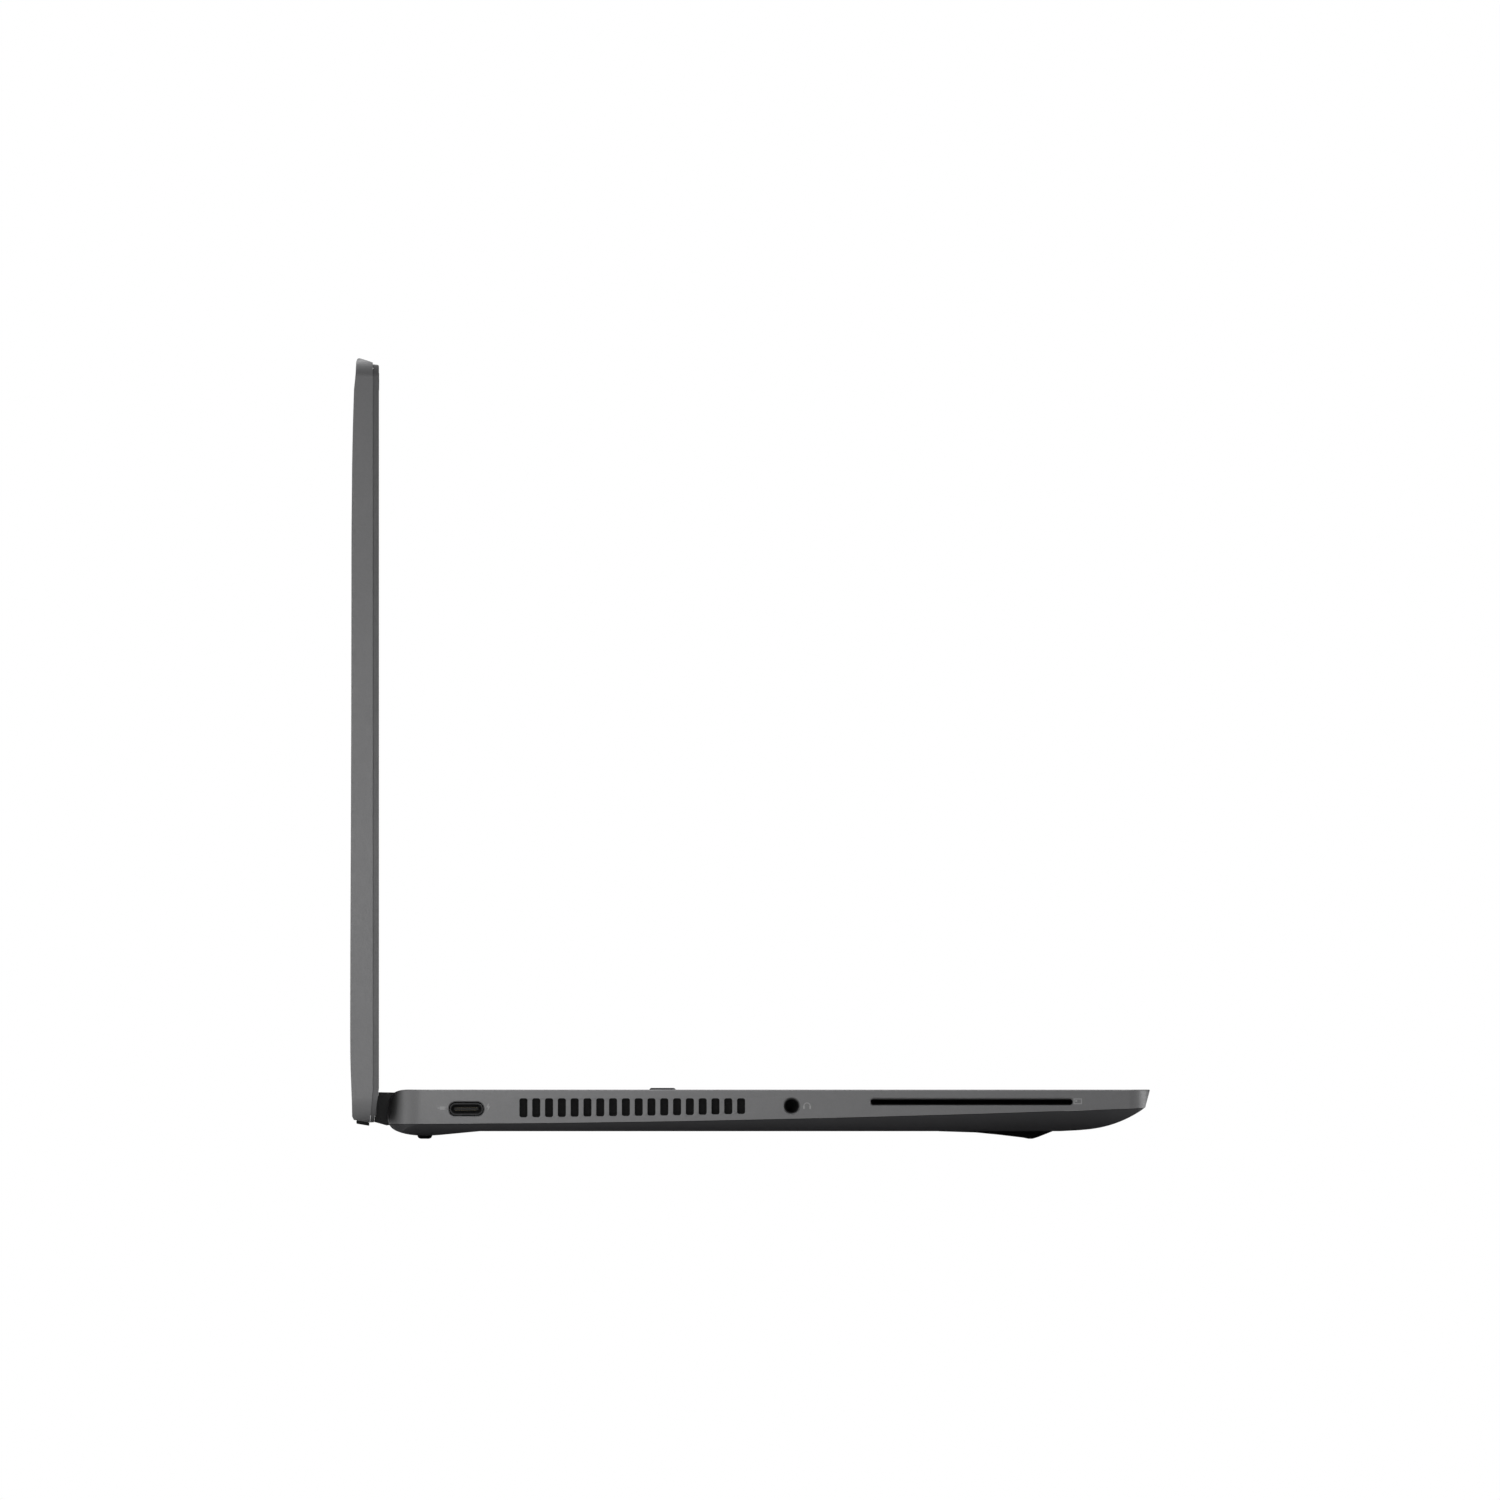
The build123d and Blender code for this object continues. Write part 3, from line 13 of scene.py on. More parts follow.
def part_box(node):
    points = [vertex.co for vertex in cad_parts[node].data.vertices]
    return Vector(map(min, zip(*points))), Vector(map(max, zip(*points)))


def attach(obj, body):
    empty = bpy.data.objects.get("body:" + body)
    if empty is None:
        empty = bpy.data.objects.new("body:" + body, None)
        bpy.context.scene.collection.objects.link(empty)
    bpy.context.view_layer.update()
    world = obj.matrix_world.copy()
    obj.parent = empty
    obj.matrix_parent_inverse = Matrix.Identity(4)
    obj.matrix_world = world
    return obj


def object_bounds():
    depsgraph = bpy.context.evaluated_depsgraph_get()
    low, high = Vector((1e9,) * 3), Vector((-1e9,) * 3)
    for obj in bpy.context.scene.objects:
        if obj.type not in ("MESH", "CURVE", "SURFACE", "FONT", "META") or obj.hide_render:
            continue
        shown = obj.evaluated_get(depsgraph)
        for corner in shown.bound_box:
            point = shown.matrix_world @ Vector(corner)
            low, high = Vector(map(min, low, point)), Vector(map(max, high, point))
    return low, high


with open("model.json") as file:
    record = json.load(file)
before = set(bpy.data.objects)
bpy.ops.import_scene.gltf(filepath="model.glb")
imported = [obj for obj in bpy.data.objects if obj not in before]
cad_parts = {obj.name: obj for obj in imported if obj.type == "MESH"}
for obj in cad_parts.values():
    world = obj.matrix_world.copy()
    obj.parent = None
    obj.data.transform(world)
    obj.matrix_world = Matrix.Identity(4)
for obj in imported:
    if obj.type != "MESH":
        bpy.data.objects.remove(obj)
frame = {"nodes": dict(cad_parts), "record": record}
CAD_LOW, CAD_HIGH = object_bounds()
NODES = frame["nodes"]
MM = 0.001

# ---- picture --------------------------------------------------------------------------------
PICTURE_WIDTH = 405.4 * MM  # what the square picture takes in, across and up
CAMERA_DISTANCE = 1.6
CAMERA_FAR = 10.0  # nothing past this is seen
CAMERA_DROP = 0.4 * MM  # the picture's centre lies this far under the object's centre

# ---- small sizes ----------------------------------------------------------------------------
INK_DEPTH = 0.012 * MM  # how far printed marks stand off the surface that they are on
LETTER_SIZE = 4.4 * MM
WORD_SIZE = 2.5 * MM
SMALL_WORD_SIZE = 2.1 * MM
LEGEND_INSET = 2.4 * MM  # from a key's left and rear edges
CAPITAL_HEIGHT = 0.72  # of the lettering's size
HALF_WORD_HEIGHT = 0.33  # of the lettering's size, to centre the function row's words
EDGE_REACH = 8.2 * MM  # the bezel's rounded corners reach this far in from its sides
EDGE_TOP_REACH = 1.0 * MM
EDGE_FACING = 0.6  # faces of the bezel that look to the front or rear more than this stay black
RIM_DEPTH = 0.3 * MM  # bare metal at the mouth of a port shell


# ---- materials ------------------------------------------------------------------------------
# Noise spends most of its range between these, so they are stretched to the full range.
NOISE_LOW, NOISE_HIGH = 0.3, 0.7
TONE_LOW, TONE_HIGH = 0.35, 0.65  # noise at which a surface is darkest and lightest
RELIEF_PER_GRAIN = 1 / 8  # depth of the relief as a share of the grain's size


def noise(tree, place, size, detail):
    """Noise whose features are about that size, in metres."""
    node = tree.nodes.new("ShaderNodeTexNoise")
    node.inputs["Scale"].default_value = 1 / size
    node.inputs["Detail"].default_value = detail
    tree.links.new(place, node.inputs["Vector"])
    return node.outputs["Fac"]


def spread(tree, value, low, high):
    """Noise stretched to run from low to high."""
    node = tree.nodes.new("ShaderNodeMapRange")
    node.inputs["From Min"].default_value = NOISE_LOW
    node.inputs["From Max"].default_value = NOISE_HIGH
    node.inputs["To Min"].default_value = low
    node.inputs["To Max"].default_value = high
    tree.links.new(value, node.inputs["Value"])
    return node.outputs["Result"]


def two_tone(tree, factor, colour, variation):
    """Colour a little darker and lighter by the factor."""
    ramp = tree.nodes.new("ShaderNodeValToRGB")
    low, high = ramp.color_ramp.elements
    low.position, high.position = TONE_LOW, TONE_HIGH
    low.color = (*[c * (1 - variation) for c in colour], 1)
    high.color = (*[c * (1 + variation) for c in colour], 1)
    tree.links.new(factor, ramp.inputs["Fac"])
    return ramp.outputs["Color"]


def surface(name, colour, roughness, metallic=0.0, grain=0.35 * MM, bump=0.15, variation=0.05,
            rough_variation=0.04, patch=18 * MM, **sockets):
    """Material with broad colour patches, a fine grain in its relief and an uneven gloss."""
    material = bpy.data.materials.new(name)
    material.use_nodes = True
    tree = material.node_tree
    shader = tree.nodes["Principled BSDF"]
    shader.inputs["Metallic"].default_value = metallic
    for socket, value in sockets.items():
        shader.inputs[socket.replace("_", " ")].default_value = value
    place = tree.nodes.new("ShaderNodeTexCoord").outputs["Object"]
    broad = noise(tree, place, patch, detail=4.0)
    fine = noise(tree, place, grain, detail=2.0)
    tree.links.new(two_tone(tree, broad, colour, variation), shader.inputs["Base Color"])
    gloss = spread(tree, fine, roughness - rough_variation, roughness + rough_variation)
    tree.links.new(gloss, shader.inputs["Roughness"])
    relief = tree.nodes.new("ShaderNodeBump")
    relief.inputs["Strength"].default_value = bump
    relief.inputs["Distance"].default_value = grain * RELIEF_PER_GRAIN
    tree.links.new(fine, relief.inputs["Height"])
    tree.links.new(relief.outputs["Normal"], shader.inputs["Normal"])
    return material


def make_materials():
    """Every material by name."""
    return {
        "silver": surface("silver", (0.27, 0.27, 0.272), 0.5, 1.0, bump=0.2, variation=0.012,
                          patch=70 * MM),
        "lid_silver": surface("lid_silver", (0.245, 0.245, 0.247), 0.5, 1.0, bump=0.2,
                              variation=0.012, patch=70 * MM),
        "frame_metal": surface("frame_metal", (0.16, 0.16, 0.162), 0.5, 1.0, bump=0.2),
        "dark_paint": surface("dark_paint", (0.035, 0.035, 0.037), 0.5, grain=0.3 * MM, bump=0.3),
        "bezel": surface("bezel", (0.012, 0.012, 0.013), 0.5, grain=0.3 * MM, bump=0.25),
        "cap_plastic": surface("cap_plastic", (0.016, 0.016, 0.017), 0.5, grain=0.25 * MM,
                               bump=0.3),
        "key": surface("key", (0.014, 0.014, 0.015), 0.46, grain=0.2 * MM, bump=0.3,
                       patch=9 * MM),
        "ink": surface("ink", (0.55, 0.56, 0.58), 0.5, bump=0.05),
        "icon_ink": surface("icon_ink", (0.42, 0.42, 0.42), 0.55, bump=0.05),
        "pad": surface("pad", (0.085, 0.085, 0.087), 0.38, grain=0.15 * MM, bump=0.1),
        "button": surface("button", (0.08, 0.08, 0.082), 0.42, grain=0.2 * MM, bump=0.15),
        "rubber": surface("rubber", (0.045, 0.045, 0.045), 0.78, grain=0.4 * MM, bump=0.4),
        "stick": surface("stick", (0.02, 0.02, 0.022), 0.85, grain=0.5 * MM, bump=0.9),
        "glass": surface("glass", (0.006, 0.006, 0.007), 0.16, bump=0.02, rough_variation=0.02,
                         Coat_Weight=0.3, Coat_Roughness=0.08),
        "panel": surface("panel", (0.35, 0.36, 0.37), 0.4, 0.6),
        "board": surface("board", (0.010, 0.045, 0.028), 0.4, grain=1.2 * MM, bump=0.3,
                         patch=5 * MM),
        "chip": surface("chip", (0.02, 0.02, 0.02), 0.35),
        "black_metal": surface("black_metal", (0.018, 0.018, 0.018), 0.6),
        "fan": surface("fan", (0.012, 0.012, 0.012), 0.45),
        "steel": surface("steel", (0.45, 0.45, 0.46), 0.33, 1.0),
        # Port metal is far darker than the steel above: painted shade at the port mouths; the
        # camera ring shares it.
        "port_metal": surface("port_metal", (0.05, 0.05, 0.051), 0.4, 1.0),
        "port_plastic": surface("port_plastic", (0.006, 0.006, 0.006), 0.5),
        # Gold dimmed to about a third of real gold: painted shade on the contacts inside the
        # ports.
        "gold": surface("gold", (0.30, 0.25, 0.15), 0.35, 1.0),
        "wrap": surface("wrap", (0.02, 0.02, 0.022), 0.3, grain=2 * MM, bump=0.3),
        # A solid black sheet behind the vent slots: painted shade inside the vents.
        "shade_sheet_black": surface("shade_sheet_black", (0.006, 0.006, 0.006), 0.8, grain=0.5 * MM, bump=0.6),
    }


FINISHES = {
    "silver_shell": "silver", "lid_shell": "lid_silver", "dark_shell": "dark_paint",
    "dark_plastic": "cap_plastic", "key_plastic": "key", "pad_surface": "pad",
    "button_plastic": "button", "soft_rubber": "rubber", "stick_rubber": "stick",
    "display_glass": "glass", "panel_parts": "panel", "circuit_board": "board",
    # The fins take black metal: painted shade that keeps them dark behind the vent slots.
    "chip_package": "chip", "cooler_metal": "black_metal", "fin_metal": "black_metal",
    "fan_plastic": "fan", "steel": "steel", "port_metal": "port_metal",
    "port_plastic": "port_plastic", "battery_wrap": "wrap",
}


def dress_nodes(materials):
    """Give every CAD node the material of its record slot."""
    for part in frame["record"]["subparts"]:
        mesh = NODES[part["node"]].data
        mesh.materials.clear()
        mesh.materials.append(materials[FINISHES[part["material_slot"]]])


def dress_bezel(materials):
    """Black face and a metal edge round it."""
    mesh = NODES["display_bezel"].data
    mesh.materials.clear()
    mesh.materials.append(materials["bezel"])
    mesh.materials.append(materials["frame_metal"])
    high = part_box("display_bezel")[1]
    for face in mesh.polygons:
        centre, normal = face.center, face.normal
        sideways = abs(centre.x) > high.x - EDGE_REACH and normal.x * centre.x > 0
        upwards = centre.z > high.z - EDGE_TOP_REACH and normal.z > 0
        if (sideways or upwards) and abs(normal.y) < EDGE_FACING:
            face.material_index = 1


def dress_ports(materials):
    """Black inside the port shells, painted shade for the dark of their openings; only their rims
    stay bare metal.
    """
    for node in ("usb_c_shell", "hdmi_shell", "usb_a_shell"):
        mesh = NODES[node].data
        mesh.materials.append(materials["port_plastic"])
        low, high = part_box(node)
        rim = max(abs(low.x), abs(high.x)) - RIM_DEPTH
        for face in mesh.polygons:
            # Inner faces take black plastic: painted shade inside the port.
            if abs(face.center.x) < rim:
                face.material_index = 1


# ---- helpers for new pieces -----------------------------------------------------------------
WELD_GAP = 0.001 * MM  # corners nearer than this are the same corner


def new_piece(name, build, material, body):
    """Object from a function that fills a bmesh; it rides on a body and takes a material."""
    made = bmesh.new()
    build(made)
    bmesh.ops.recalc_face_normals(made, faces=made.faces)
    mesh = bpy.data.meshes.new(name)
    made.to_mesh(mesh)
    made.free()
    mesh.materials.append(material)
    piece = bpy.data.objects.new(name, mesh)
    bpy.context.scene.collection.objects.link(piece)
    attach(piece, body)


def loose_boxes(node):
    """Lowest and highest corners of a node's separate solids, back row first, from the left."""
    made = bmesh.new()
    made.from_mesh(NODES[node].data)
    bmesh.ops.remove_doubles(made, verts=made.verts, dist=WELD_GAP)
    waiting = set(made.verts)
    boxes = []
    while waiting:
        group, found = set(), [waiting.pop()]
        while found:
            vertex = found.pop()
            group.add(vertex)
            for edge in vertex.link_edges:
                other = edge.other_vert(vertex)
                if other in waiting:
                    waiting.discard(other)
                    found.append(other)
        low = Vector([min(v.co[axis] for v in group) for axis in range(3)])
        high = Vector([max(v.co[axis] for v in group) for axis in range(3)])
        boxes.append((low, high))
    made.free()
    return sorted(boxes, key=lambda box: (-round(box[0].y / MM), box[0].x))


def add_text(made, words, size, corner):
    """Printed words whose first letter starts at the corner, flat on Z."""
    curve = bpy.data.curves.new("words", "FONT")
    curve.body = words
    curve.size = size
    curve.extrude = INK_DEPTH / 2
    curve.resolution_u = 3
    carrier = bpy.data.objects.new("words", curve)
    bpy.context.scene.collection.objects.link(carrier)
    seen = carrier.evaluated_get(bpy.context.evaluated_depsgraph_get())
    mesh = bpy.data.meshes.new_from_object(seen)
    mesh.transform(Matrix.Translation(corner + Vector((0, 0, INK_DEPTH / 2))))
    made.from_mesh(mesh)
    bpy.data.objects.remove(carrier)
    bpy.data.curves.remove(curve)
    bpy.data.meshes.remove(mesh)


def add_outline(made, points, depth, place):
    """Thin plate from a flat outline; place turns (across, up, out) into the frame."""
    low = [made.verts.new(place(x, y, 0)) for x, y in points]
    high = [made.verts.new(place(x, y, depth)) for x, y in points]
    made.faces.new(low)
    made.faces.new(list(reversed(high)))
    count = len(points)
    for index in range(count):
        after = (index + 1) % count
        made.faces.new((low[index], high[index], high[after], low[after]))


def ring_points(radius, count=32, start=0.0, end=360.0):
    """Points on an arc round the origin, from start to end in degrees; a ring has no repeat."""
    steps = count if end - start >= 360 else count - 1
    angles = [math.radians(start + (end - start) * index / steps) for index in range(count)]
    return [(radius * math.cos(angle), radius * math.sin(angle)) for angle in angles]


def arc_band(radius, width, start, end, count=20):
    """Outline of a bent stroke."""
    outer = ring_points(radius + width / 2, count, start, end)
    inner = ring_points(radius - width / 2, count, start, end)
    return outer + inner[::-1]


def shifted(points, across, up):
    """The same outline, moved."""
    return [(x + across, y + up) for x, y in points]


def rectangle(width, height, across=0.0, up=0.0):
    """Outline of a rectangle round a point."""
    w, h = width / 2, height / 2
    return shifted([(-w, -h), (w, -h), (w, h), (-w, h)], across, up)


def millimetres(points):
    """Outline given in millimetres, in metres."""
    return [(x * MM, y * MM) for x, y in points]


# ---- key legends ----------------------------------------------------------------------------
LEGENDS = {
    "function_keys": ["esc", *[f"f{n}" for n in range(1, 13)], "ins", "del"],
    "number_keys": [*"`1234567890-=", "back"],
    "upper_letter_keys": ["tab", *"QWERTYUIOP[]\\"],
    "home_letter_keys": ["caps", *"ASDFGHJKL;'"],
    "enter_key": ["enter"],
    "lower_letter_keys": ["shift", *"ZXCVBNM,./", "shift"],
    "bottom_row_keys": ["ctrl", "fn", "menu", "alt", "alt", "ctrl"],
}
ARROW_TURNS = (90, 180, 270, 0)  # up, left, down, right, in loose_boxes' order
ARROW = [(1.1, 0), (-0.7, 1), (-0.7, -1)]  # mm, pointing right
POWER_RING_RADIUS = 1.1 * MM
POWER_STROKE = 0.25 * MM
POWER_BAR = 1.2 * MM  # its length
POWER_BAR_RISE = 0.9 * MM  # from the ring's centre to the bar's
POWER_GAP = (120, 420)  # degrees, where the ring starts and ends round its gap at the top


def legend_size(node, legend):
    """Single signs are large, words small."""
    if node == "function_keys":
        return SMALL_WORD_SIZE
    return LETTER_SIZE if len(legend) == 1 else WORD_SIZE


def make_legends(materials):
    """Printed legends, one piece for each key node."""
    for node, words in LEGENDS.items():
        def build(made, node=node, words=words):
            for (low, high), legend in zip(loose_boxes(node), words):
                size = legend_size(node, legend)
                corner = Vector((low.x + LEGEND_INSET,
                                 high.y - LEGEND_INSET - size * CAPITAL_HEIGHT, high.z))
                if node == "function_keys":
                    corner.y = (low.y + high.y) / 2 - size * HALF_WORD_HEIGHT
                add_text(made, legend, size, corner)
        new_piece(f"{node}_legends", build, materials["ink"], node)


def make_arrow_marks(materials):
    """Small triangles on the arrow keys."""
    def build(made):
        for (low, high), turn in zip(loose_boxes("arrow_keys"), ARROW_TURNS):
            centre = (low + high) / 2
            rotation = Matrix.Rotation(math.radians(turn), 2)
            points = [tuple(rotation @ Vector(point)) for point in millimetres(ARROW)]
            add_outline(made, points, INK_DEPTH,
                        lambda x, y, out: (centre.x + x, centre.y + y, high.z + out))
    new_piece("arrow_key_marks", build, materials["ink"], "arrow_keys")


def make_power_mark(materials):
    """Plain ring with a stroke on the power button."""
    low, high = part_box("power_button")
    centre = (low + high) / 2

    def place(x, y, out):
        return centre.x + x, centre.y + y, high.z + out

    def build(made):
        add_outline(made, arc_band(POWER_RING_RADIUS, POWER_STROKE, *POWER_GAP), INK_DEPTH, place)
        bar = rectangle(POWER_STROKE, POWER_BAR, up=POWER_BAR_RISE)
        add_outline(made, bar, INK_DEPTH, place)
    new_piece("power_button_mark", build, materials["ink"], "power_button")


# ---- marks and details at the ports ---------------------------------------------------------
# Where each pictogram lies, in mm from the middle of its port: towards the rear, and up.
PLUG_PLACE = (6.5, 0.25)
BOLT_PLACE = (-5.95, 0.5)
HEADSET_PLACE = (-4.2, -0.05)
CARD_MARK_BACK = 0.9  # mm from the reader's front end back to the middle of its mark
# Each pictogram's strokes, as width, height, across and up, in mm.
PLUG = [(1.3, 0.9, 0, 0), (0.6, 0.25, -0.95, 0), (0.5, 0.16, 0.9, -0.25), (0.5, 0.16, 0.9, 0.25)]
BOLT = [(0.1, 1.1), (-0.55, -0.1), (-0.1, -0.1), (-0.2, -1.1), (0.5, 0.2), (0.05, 0.2)]
STROKE = 0.22
EAR_CUPS = [(0.42, 0.8, -0.85, -0.35), (0.42, 0.8, 0.85, -0.35)]
HEADBAND_RADIUS = 0.85 * MM
CARD = [(STROKE, 1.5, -1.0, 0), (STROKE, 1.5, 1.0, 0), (1.8, STROKE, 0, -0.64),
        (1.8, STROKE, 0, 0.64), (0.5, 0.45, -0.4, 0.1)]


def on_left_wall(y, z):
    """Placing function for a mark on the left wall; across runs towards the user."""
    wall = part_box("palmrest_top_case")[0].x

    def place(across, up, out):
        return wall - out, y - across, z + up
    return place


def middle(node):
    """Centre of a node's box."""
    low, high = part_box(node)
    return (low + high) / 2


def beside(centre, offset):
    """Placing function for a mark at an offset, in mm, from a port's middle."""
    back, up = offset
    return on_left_wall(centre.y + back * MM, centre.z + up * MM)


def add_strokes(made, strokes, place):
    """Rectangles of ink."""
    for width, height, across, up in strokes:
        box = rectangle(width * MM, height * MM, across * MM, up * MM)
        add_outline(made, box, INK_DEPTH, place)


def make_port_marks(materials):
    """Plain pictograms beside the left-hand ports."""
    usb = middle("usb_c_shell")
    jack = middle("audio_jack")
    reader = middle("smart_card_reader")
    reader_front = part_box("smart_card_reader")[0].y

    def charge(made):
        """A small plug behind the port and a bolt in front of it."""
        add_strokes(made, PLUG, beside(usb, PLUG_PLACE))
        add_outline(made, millimetres(BOLT), INK_DEPTH, beside(usb, BOLT_PLACE))

    def headset(made):
        """A headband with an ear cup at each end."""
        place = beside(jack, HEADSET_PLACE)
        add_outline(made, arc_band(HEADBAND_RADIUS, STROKE * MM, 0, 180), INK_DEPTH, place)
        add_strokes(made, EAR_CUPS, place)

    def card(made):
        """A card with its chip."""
        add_strokes(made, CARD, on_left_wall(reader_front + CARD_MARK_BACK * MM, reader.z))

    for name, build in (("charge_marks", charge), ("headset_mark", headset), ("card_mark", card)):
        new_piece(name, build, materials["icon_ink"], "base")


def add_block(made, low, high):
    """Small block between two corners."""
    matrix = Matrix.Translation((Vector(low) + Vector(high)) / 2)
    size = Vector(high) - Vector(low)
    matrix = matrix @ Matrix.Diagonal((*size, 1))
    bmesh.ops.create_cube(made, size=1, matrix=matrix)


# Tongue, number of contacts, width of one in mm, and the faces that they lie on (1 is the top).
CONTACTS = (
    ("usb_c_tongue", 12, 0.25, (-1, 1)),
    ("usb_a_tongue", 4, 1.0, (-1,)),
    ("hdmi_tongue", 10, 0.4, (-1, 1)),
)
CONTACT_NEAR = 0.4 * MM  # from the tongue's tip to where a contact starts
CONTACT_FAR = 4.5 * MM  # and to where it ends
CONTACT_DEPTH = 0.05 * MM


def make_contacts(materials):
    """Gold contact strips on the tongues of the ports."""
    for node, count, width, faces in CONTACTS:
        low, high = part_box(node)
        outward = -1 if low.x < 0 else 1
        tip = low.x if outward < 0 else high.x

        def build(made):
            step = (high.y - low.y) / (count + 1)
            x_low, x_high = sorted((tip - outward * CONTACT_NEAR, tip - outward * CONTACT_FAR))
            for index in range(count):
                y = low.y + step * (index + 1)
                y_low, y_high = y - width / 2 * MM, y + width / 2 * MM
                for face in faces:
                    z = high.z if face > 0 else low.z
                    z_low, z_high = sorted((z, z + face * CONTACT_DEPTH))
                    add_block(made, (x_low, y_low, z_low), (x_high, y_high, z_high))
        new_piece(f"{node}_contacts", build, materials["gold"], "base")


SHADE_SHEET_X = (1.8 * MM, 2.1 * MM)  # from the outside of the left wall, between it and the fins
SHADE_SHEET_FRONT = 1.5 * MM  # past the fins' front end
SHADE_SHEET_REAR = 15 * MM  # past their rear end
SHADE_SHEET_LIFT = 0.3 * MM  # off the fins' lowest level


def make_vent_shade_sheet(materials):
    """Black sheet between the left wall and the cooler's fins, painted shade that keeps the vent
    slots dark where a dust mesh would stand.
    """
    wall_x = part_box("palmrest_top_case")[0].x
    low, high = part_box("heatsink_fins")

    def build(made):
        # Solid, not perforated: the sheet paints the shade behind the vent slots.
        add_block(made, (wall_x + SHADE_SHEET_X[0], low.y - SHADE_SHEET_FRONT, low.z + SHADE_SHEET_LIFT),
                  (wall_x + SHADE_SHEET_X[1], high.y + SHADE_SHEET_REAR, high.z))
    new_piece("vent_shade_sheet", build, materials["shade_sheet_black"], "base")


CAMERA_RING = (2.3 * MM, 1.75 * MM)  # outer and inner radius
CAMERA_RING_DEPTH = 0.06 * MM
DOTS_X = (-42, -38, -5.2, 38, 42)  # mm: two microphones, the indicator and two microphones
DOT_RADIUS = 0.45 * MM
DOT_DEPTH = 0.02 * MM
# A ring's section, as (level, circle) from corner to corner; circle 0 is the outer one.
RING_SIDES = (((0, 0), (0, 1)), ((0, 1), (1, 1)), ((1, 1), (1, 0)), ((1, 0), (0, 0)))


def make_bezel_details(materials):
    """Camera window ring, indicator dot and microphone holes in the top of the bezel; the holes
    are black dots of painted shade, not openings.
    """
    face_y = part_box("display_bezel")[0].y
    camera = middle("camera_module")
    height = middle("camera_shutter").z

    def at(x):
        """Placing function for a mark on the bezel's face."""
        def place(across, up, out):
            return x + across, face_y - out, height + up
        return place

    def ring(made):
        """Thin flat ring round the camera."""
        circles = [ring_points(radius) for radius in CAMERA_RING]
        place = at(camera.x)
        corners = {}
        for level, out in enumerate((0, CAMERA_RING_DEPTH)):
            for side, circle in enumerate(circles):
                corners[level, side] = [made.verts.new(place(x, y, out)) for x, y in circle]
        count = len(circles[0])
        for index in range(count):
            after = (index + 1) % count
            for start, end in RING_SIDES:
                made.faces.new((corners[start][index], corners[end][index],
                                corners[end][after], corners[start][after]))

    def dots(made):
        """Small round marks in a row."""
        for x in DOTS_X:
            add_outline(made, ring_points(DOT_RADIUS, 20), DOT_DEPTH, at(x * MM))

    new_piece("camera_ring", ring, materials["port_metal"], "lid")
    # The microphone holes are black dots: painted shade standing in for openings.
    new_piece("microphone_dots", dots, materials["port_plastic"], "lid")


# ---- softer edges ---------------------------------------------------------------------------
ROUNDED = {  # edge radius of each node, in mm
    "palmrest_top_case": 0.12, "bottom_cover": 0.25, "lid_back_cover": 0.18, "display_bezel": 0.12,
    "hinge_caps": 0.25, "front_foot": 0.25, "rear_foot": 0.15, "lid_rubber_strip": 0.2,
    "touchpad": 0.1, "stick_button_left": 0.15, "stick_button_right": 0.15, "power_button": 0.12,
    "keyboard_frame": 0.08, "camera_shutter": 0.08, "usb_c_tongue": 0.1,
    "space_bar": 0.12, "arrow_keys": 0.12, **{node: 0.12 for node in LEGENDS},
}
SEAM_GAP = 0.002 * MM  # corners of neighbouring CAD faces are welded within this
SHARP_ANGLE = math.radians(32)  # edges that turn by more than this are rounded


def soften_edges():
    """Weld the CAD meshes and round their sharp edges by real, small radii."""
    for node, radius in ROUNDED.items():
        piece = NODES[node]
        mesh = piece.data
        mesh.attributes.remove(mesh.attributes["custom_normal"])
        mesh.shade_smooth()
        weld = piece.modifiers.new("weld", "WELD")
        weld.merge_threshold = SEAM_GAP
        bevel = piece.modifiers.new("round", "BEVEL")
        bevel.width = radius * MM
        bevel.segments = 2
        bevel.limit_method = "ANGLE"
        bevel.angle_limit = SHARP_ANGLE
        normals = piece.modifiers.new("normals", "WEIGHTED_NORMAL")
        normals.keep_sharp = True


# ---- stage ----------------------------------------------------------------------------------
HORIZON_LIGHT = (0.045, 0.045, 0.04635, 1)
ZENITH_LIGHT = (0.45, 0.45, 0.459, 1)
HORIZON_HEIGHT, ZENITH_HEIGHT = 0.05, 0.95  # upward part of a direction that sees each light
FLOOR_REACH = 12.0  # from the origin, so that its far edge is out of sight from a low camera
FLOOR_GLOW = 1.35
GLOW_SPREAD = math.radians(70)
# Name, place, spot it points at, size and radiance.
SIDE_LIGHTS = (
    ("left", (-0.50, 0.10, 0.06), (-0.15, 0.09, 0.05), (0.12, 0.12), 2.65),
    ("rear_left", (-0.7, 1.05, 0.15), (-0.1, 0.1, 0.02), (0.35, 0.35), 2.4),
    ("front_left", (-0.30, -1.3, 0.06), (-0.1, -0.1, 0.02), (0.26, 0.26), 5.0),
    ("high_left", (-0.9, 0.7, 1.0), (0, 0, 0.02), (0.8, 0.8), 0.5),
    ("rear_right", (0.7, 1.1, 0.15), (0, 0.1, 0.05), (0.5, 0.4), 1.8),
    ("front", (-0.1, -1.3, 0.15), (0, 0, 0.05), (0.9, 0.5), 1.6),
    ("overhead", (0.0, 0.0, 1.3), (0, 0, 0), (0.7, 0.7), 2.6),
    ("right", (0.9, 0.0, 0.35), (0.15, 0, 0.05), (0.8, 0.6), 0.9),
    ("rear", (0.2, 1.4, 0.7), (0, 0.1, 0.1), (1.2, 0.6), 1.6),
)


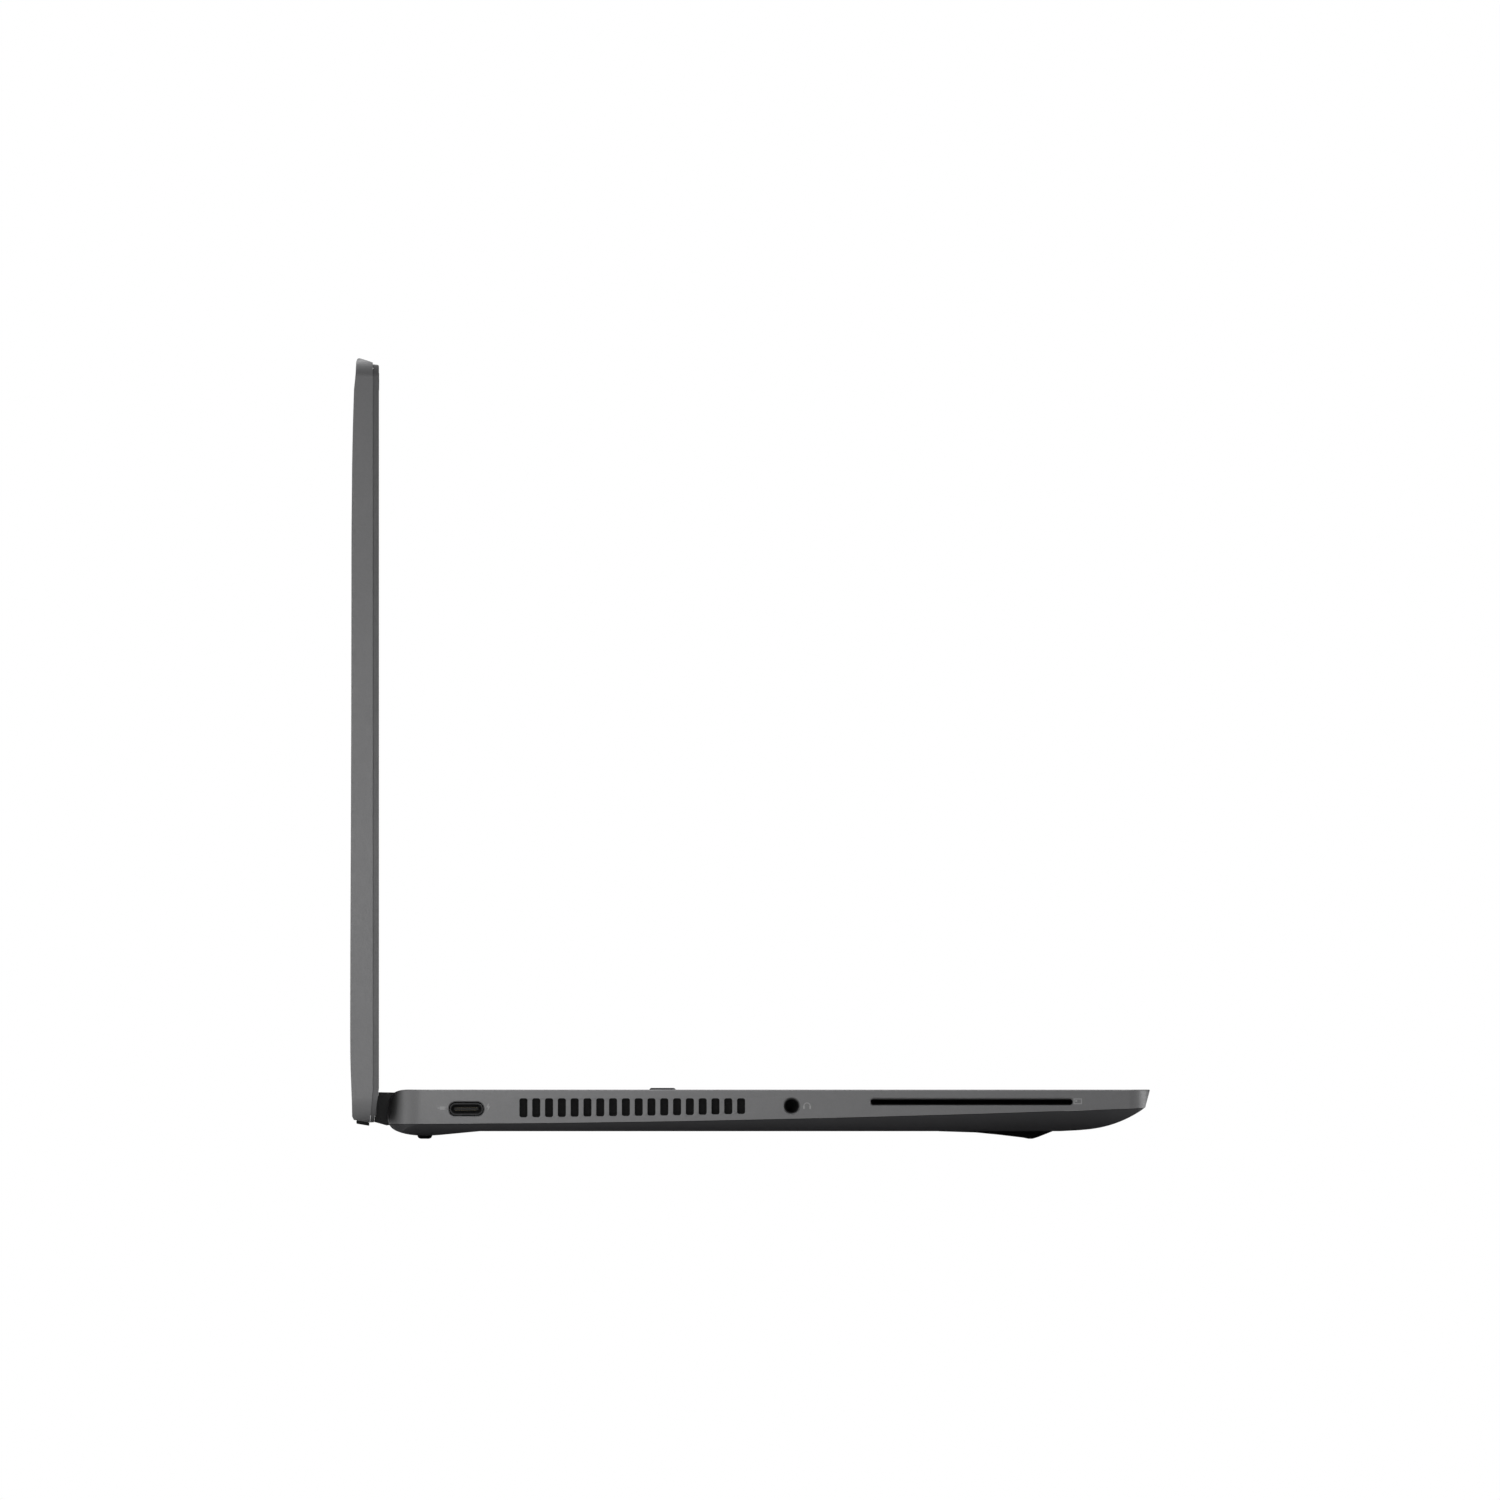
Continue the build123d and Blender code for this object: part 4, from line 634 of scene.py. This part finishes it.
def make_world():
    """White to the camera, and a studio that brightens from the horizon to the ceiling."""
    world = bpy.data.worlds.new("studio")
    bpy.context.scene.world = world
    world.use_nodes = True
    tree = world.node_tree
    nodes, links = tree.nodes, tree.links
    direction = nodes.new("ShaderNodeTexCoord").outputs["Generated"]
    parts = nodes.new("ShaderNodeSeparateXYZ")
    links.new(direction, parts.inputs["Vector"])
    ramp = nodes.new("ShaderNodeValToRGB")
    low, high = ramp.color_ramp.elements
    low.position, high.position = HORIZON_HEIGHT, ZENITH_HEIGHT
    low.color, high.color = HORIZON_LIGHT, ZENITH_LIGHT
    links.new(parts.outputs["Z"], ramp.inputs["Fac"])
    room = nodes["Background"]
    links.new(ramp.outputs["Color"], room.inputs["Color"])
    white = nodes.new("ShaderNodeBackground")
    white.inputs["Color"].default_value = (1, 1, 1, 1)
    seen = nodes.new("ShaderNodeLightPath")
    mix = nodes.new("ShaderNodeMixShader")
    links.new(seen.outputs["Is Camera Ray"], mix.inputs["Fac"])
    links.new(room.outputs[0], mix.inputs[1])
    links.new(white.outputs[0], mix.inputs[2])
    links.new(mix.outputs[0], nodes["World Output"].inputs["Surface"])


def make_floor():
    """Pale floor, which a level camera sees edge-on."""
    mesh = bpy.data.meshes.new("floor")
    corners = [(x, y, 0) for x, y in rectangle(2 * FLOOR_REACH, 2 * FLOOR_REACH)]
    mesh.from_pydata(corners, [], [(0, 1, 2, 3)])
    mesh.materials.append(surface("floor", (0.80, 0.80, 0.80), 0.7, bump=0.05, variation=0.003))
    floor = bpy.data.objects.new("floor", mesh)
    bpy.context.scene.collection.objects.link(floor)
    return floor


def link_light(lamp, floor, state):
    """Let a lamp light only the floor (INCLUDE), or everything but the floor (EXCLUDE)."""
    receivers = bpy.data.collections.new(f"{lamp.name}_receivers")
    receivers.objects.link(floor)
    receivers.collection_objects[0].light_linking.link_state = state
    lamp.light_linking.receiver_collection = receivers


def area_light(name, place, aim, size, radiance):
    """Soft rectangular light that points at a spot; the radiance is what a mirror would show."""
    light = bpy.data.lights.new(name, "AREA")
    light.shape = "RECTANGLE"
    light.size, light.size_y = size
    light.energy = radiance * math.pi * size[0] * size[1]
    lamp = bpy.data.objects.new(name, light)
    lamp.location = place
    lamp.rotation_mode = "QUATERNION"
    lamp.rotation_quaternion = (Vector(aim) - Vector(place)).to_track_quat("-Z", "Y")
    lamp.visible_camera = False
    bpy.context.scene.collection.objects.link(lamp)
    return lamp


def make_lights(floor):
    """Soft lights round the object, and one that only brightens the floor."""
    for settings in SIDE_LIGHTS:
        link_light(area_light(*settings), floor, "EXCLUDE")
    glow = bpy.data.lights.new("floor_glow", "SUN")
    glow.energy = FLOOR_GLOW
    glow.angle = GLOW_SPREAD
    lamp = bpy.data.objects.new("floor_glow", glow)
    bpy.context.scene.collection.objects.link(lamp)
    link_light(lamp, floor, "INCLUDE")


def make_camera():
    """Straight at the left side, with no perspective."""
    centre = (CAD_LOW + CAD_HIGH) / 2
    camera = bpy.data.cameras.new("camera")
    camera.type = "ORTHO"
    camera.ortho_scale = PICTURE_WIDTH
    camera.clip_end = CAMERA_FAR
    holder = bpy.data.objects.new("camera", camera)
    holder.location = (CAD_LOW.x - CAMERA_DISTANCE, centre.y, centre.z - CAMERA_DROP)
    holder.rotation_euler = (math.radians(90), 0, math.radians(-90))
    bpy.context.scene.collection.objects.link(holder)
    bpy.context.scene.camera = holder
    bpy.context.scene.view_settings.view_transform = "Standard"


def main():
    """Everything, in order."""
    make_camera()
    make_world()
    make_lights(make_floor())
    materials = make_materials()
    dress_nodes(materials)
    dress_bezel(materials)
    dress_ports(materials)
    make_legends(materials)
    make_arrow_marks(materials)
    make_power_mark(materials)
    make_port_marks(materials)
    make_contacts(materials)
    make_vent_shade_sheet(materials)
    make_bezel_details(materials)
    soften_edges()


main()
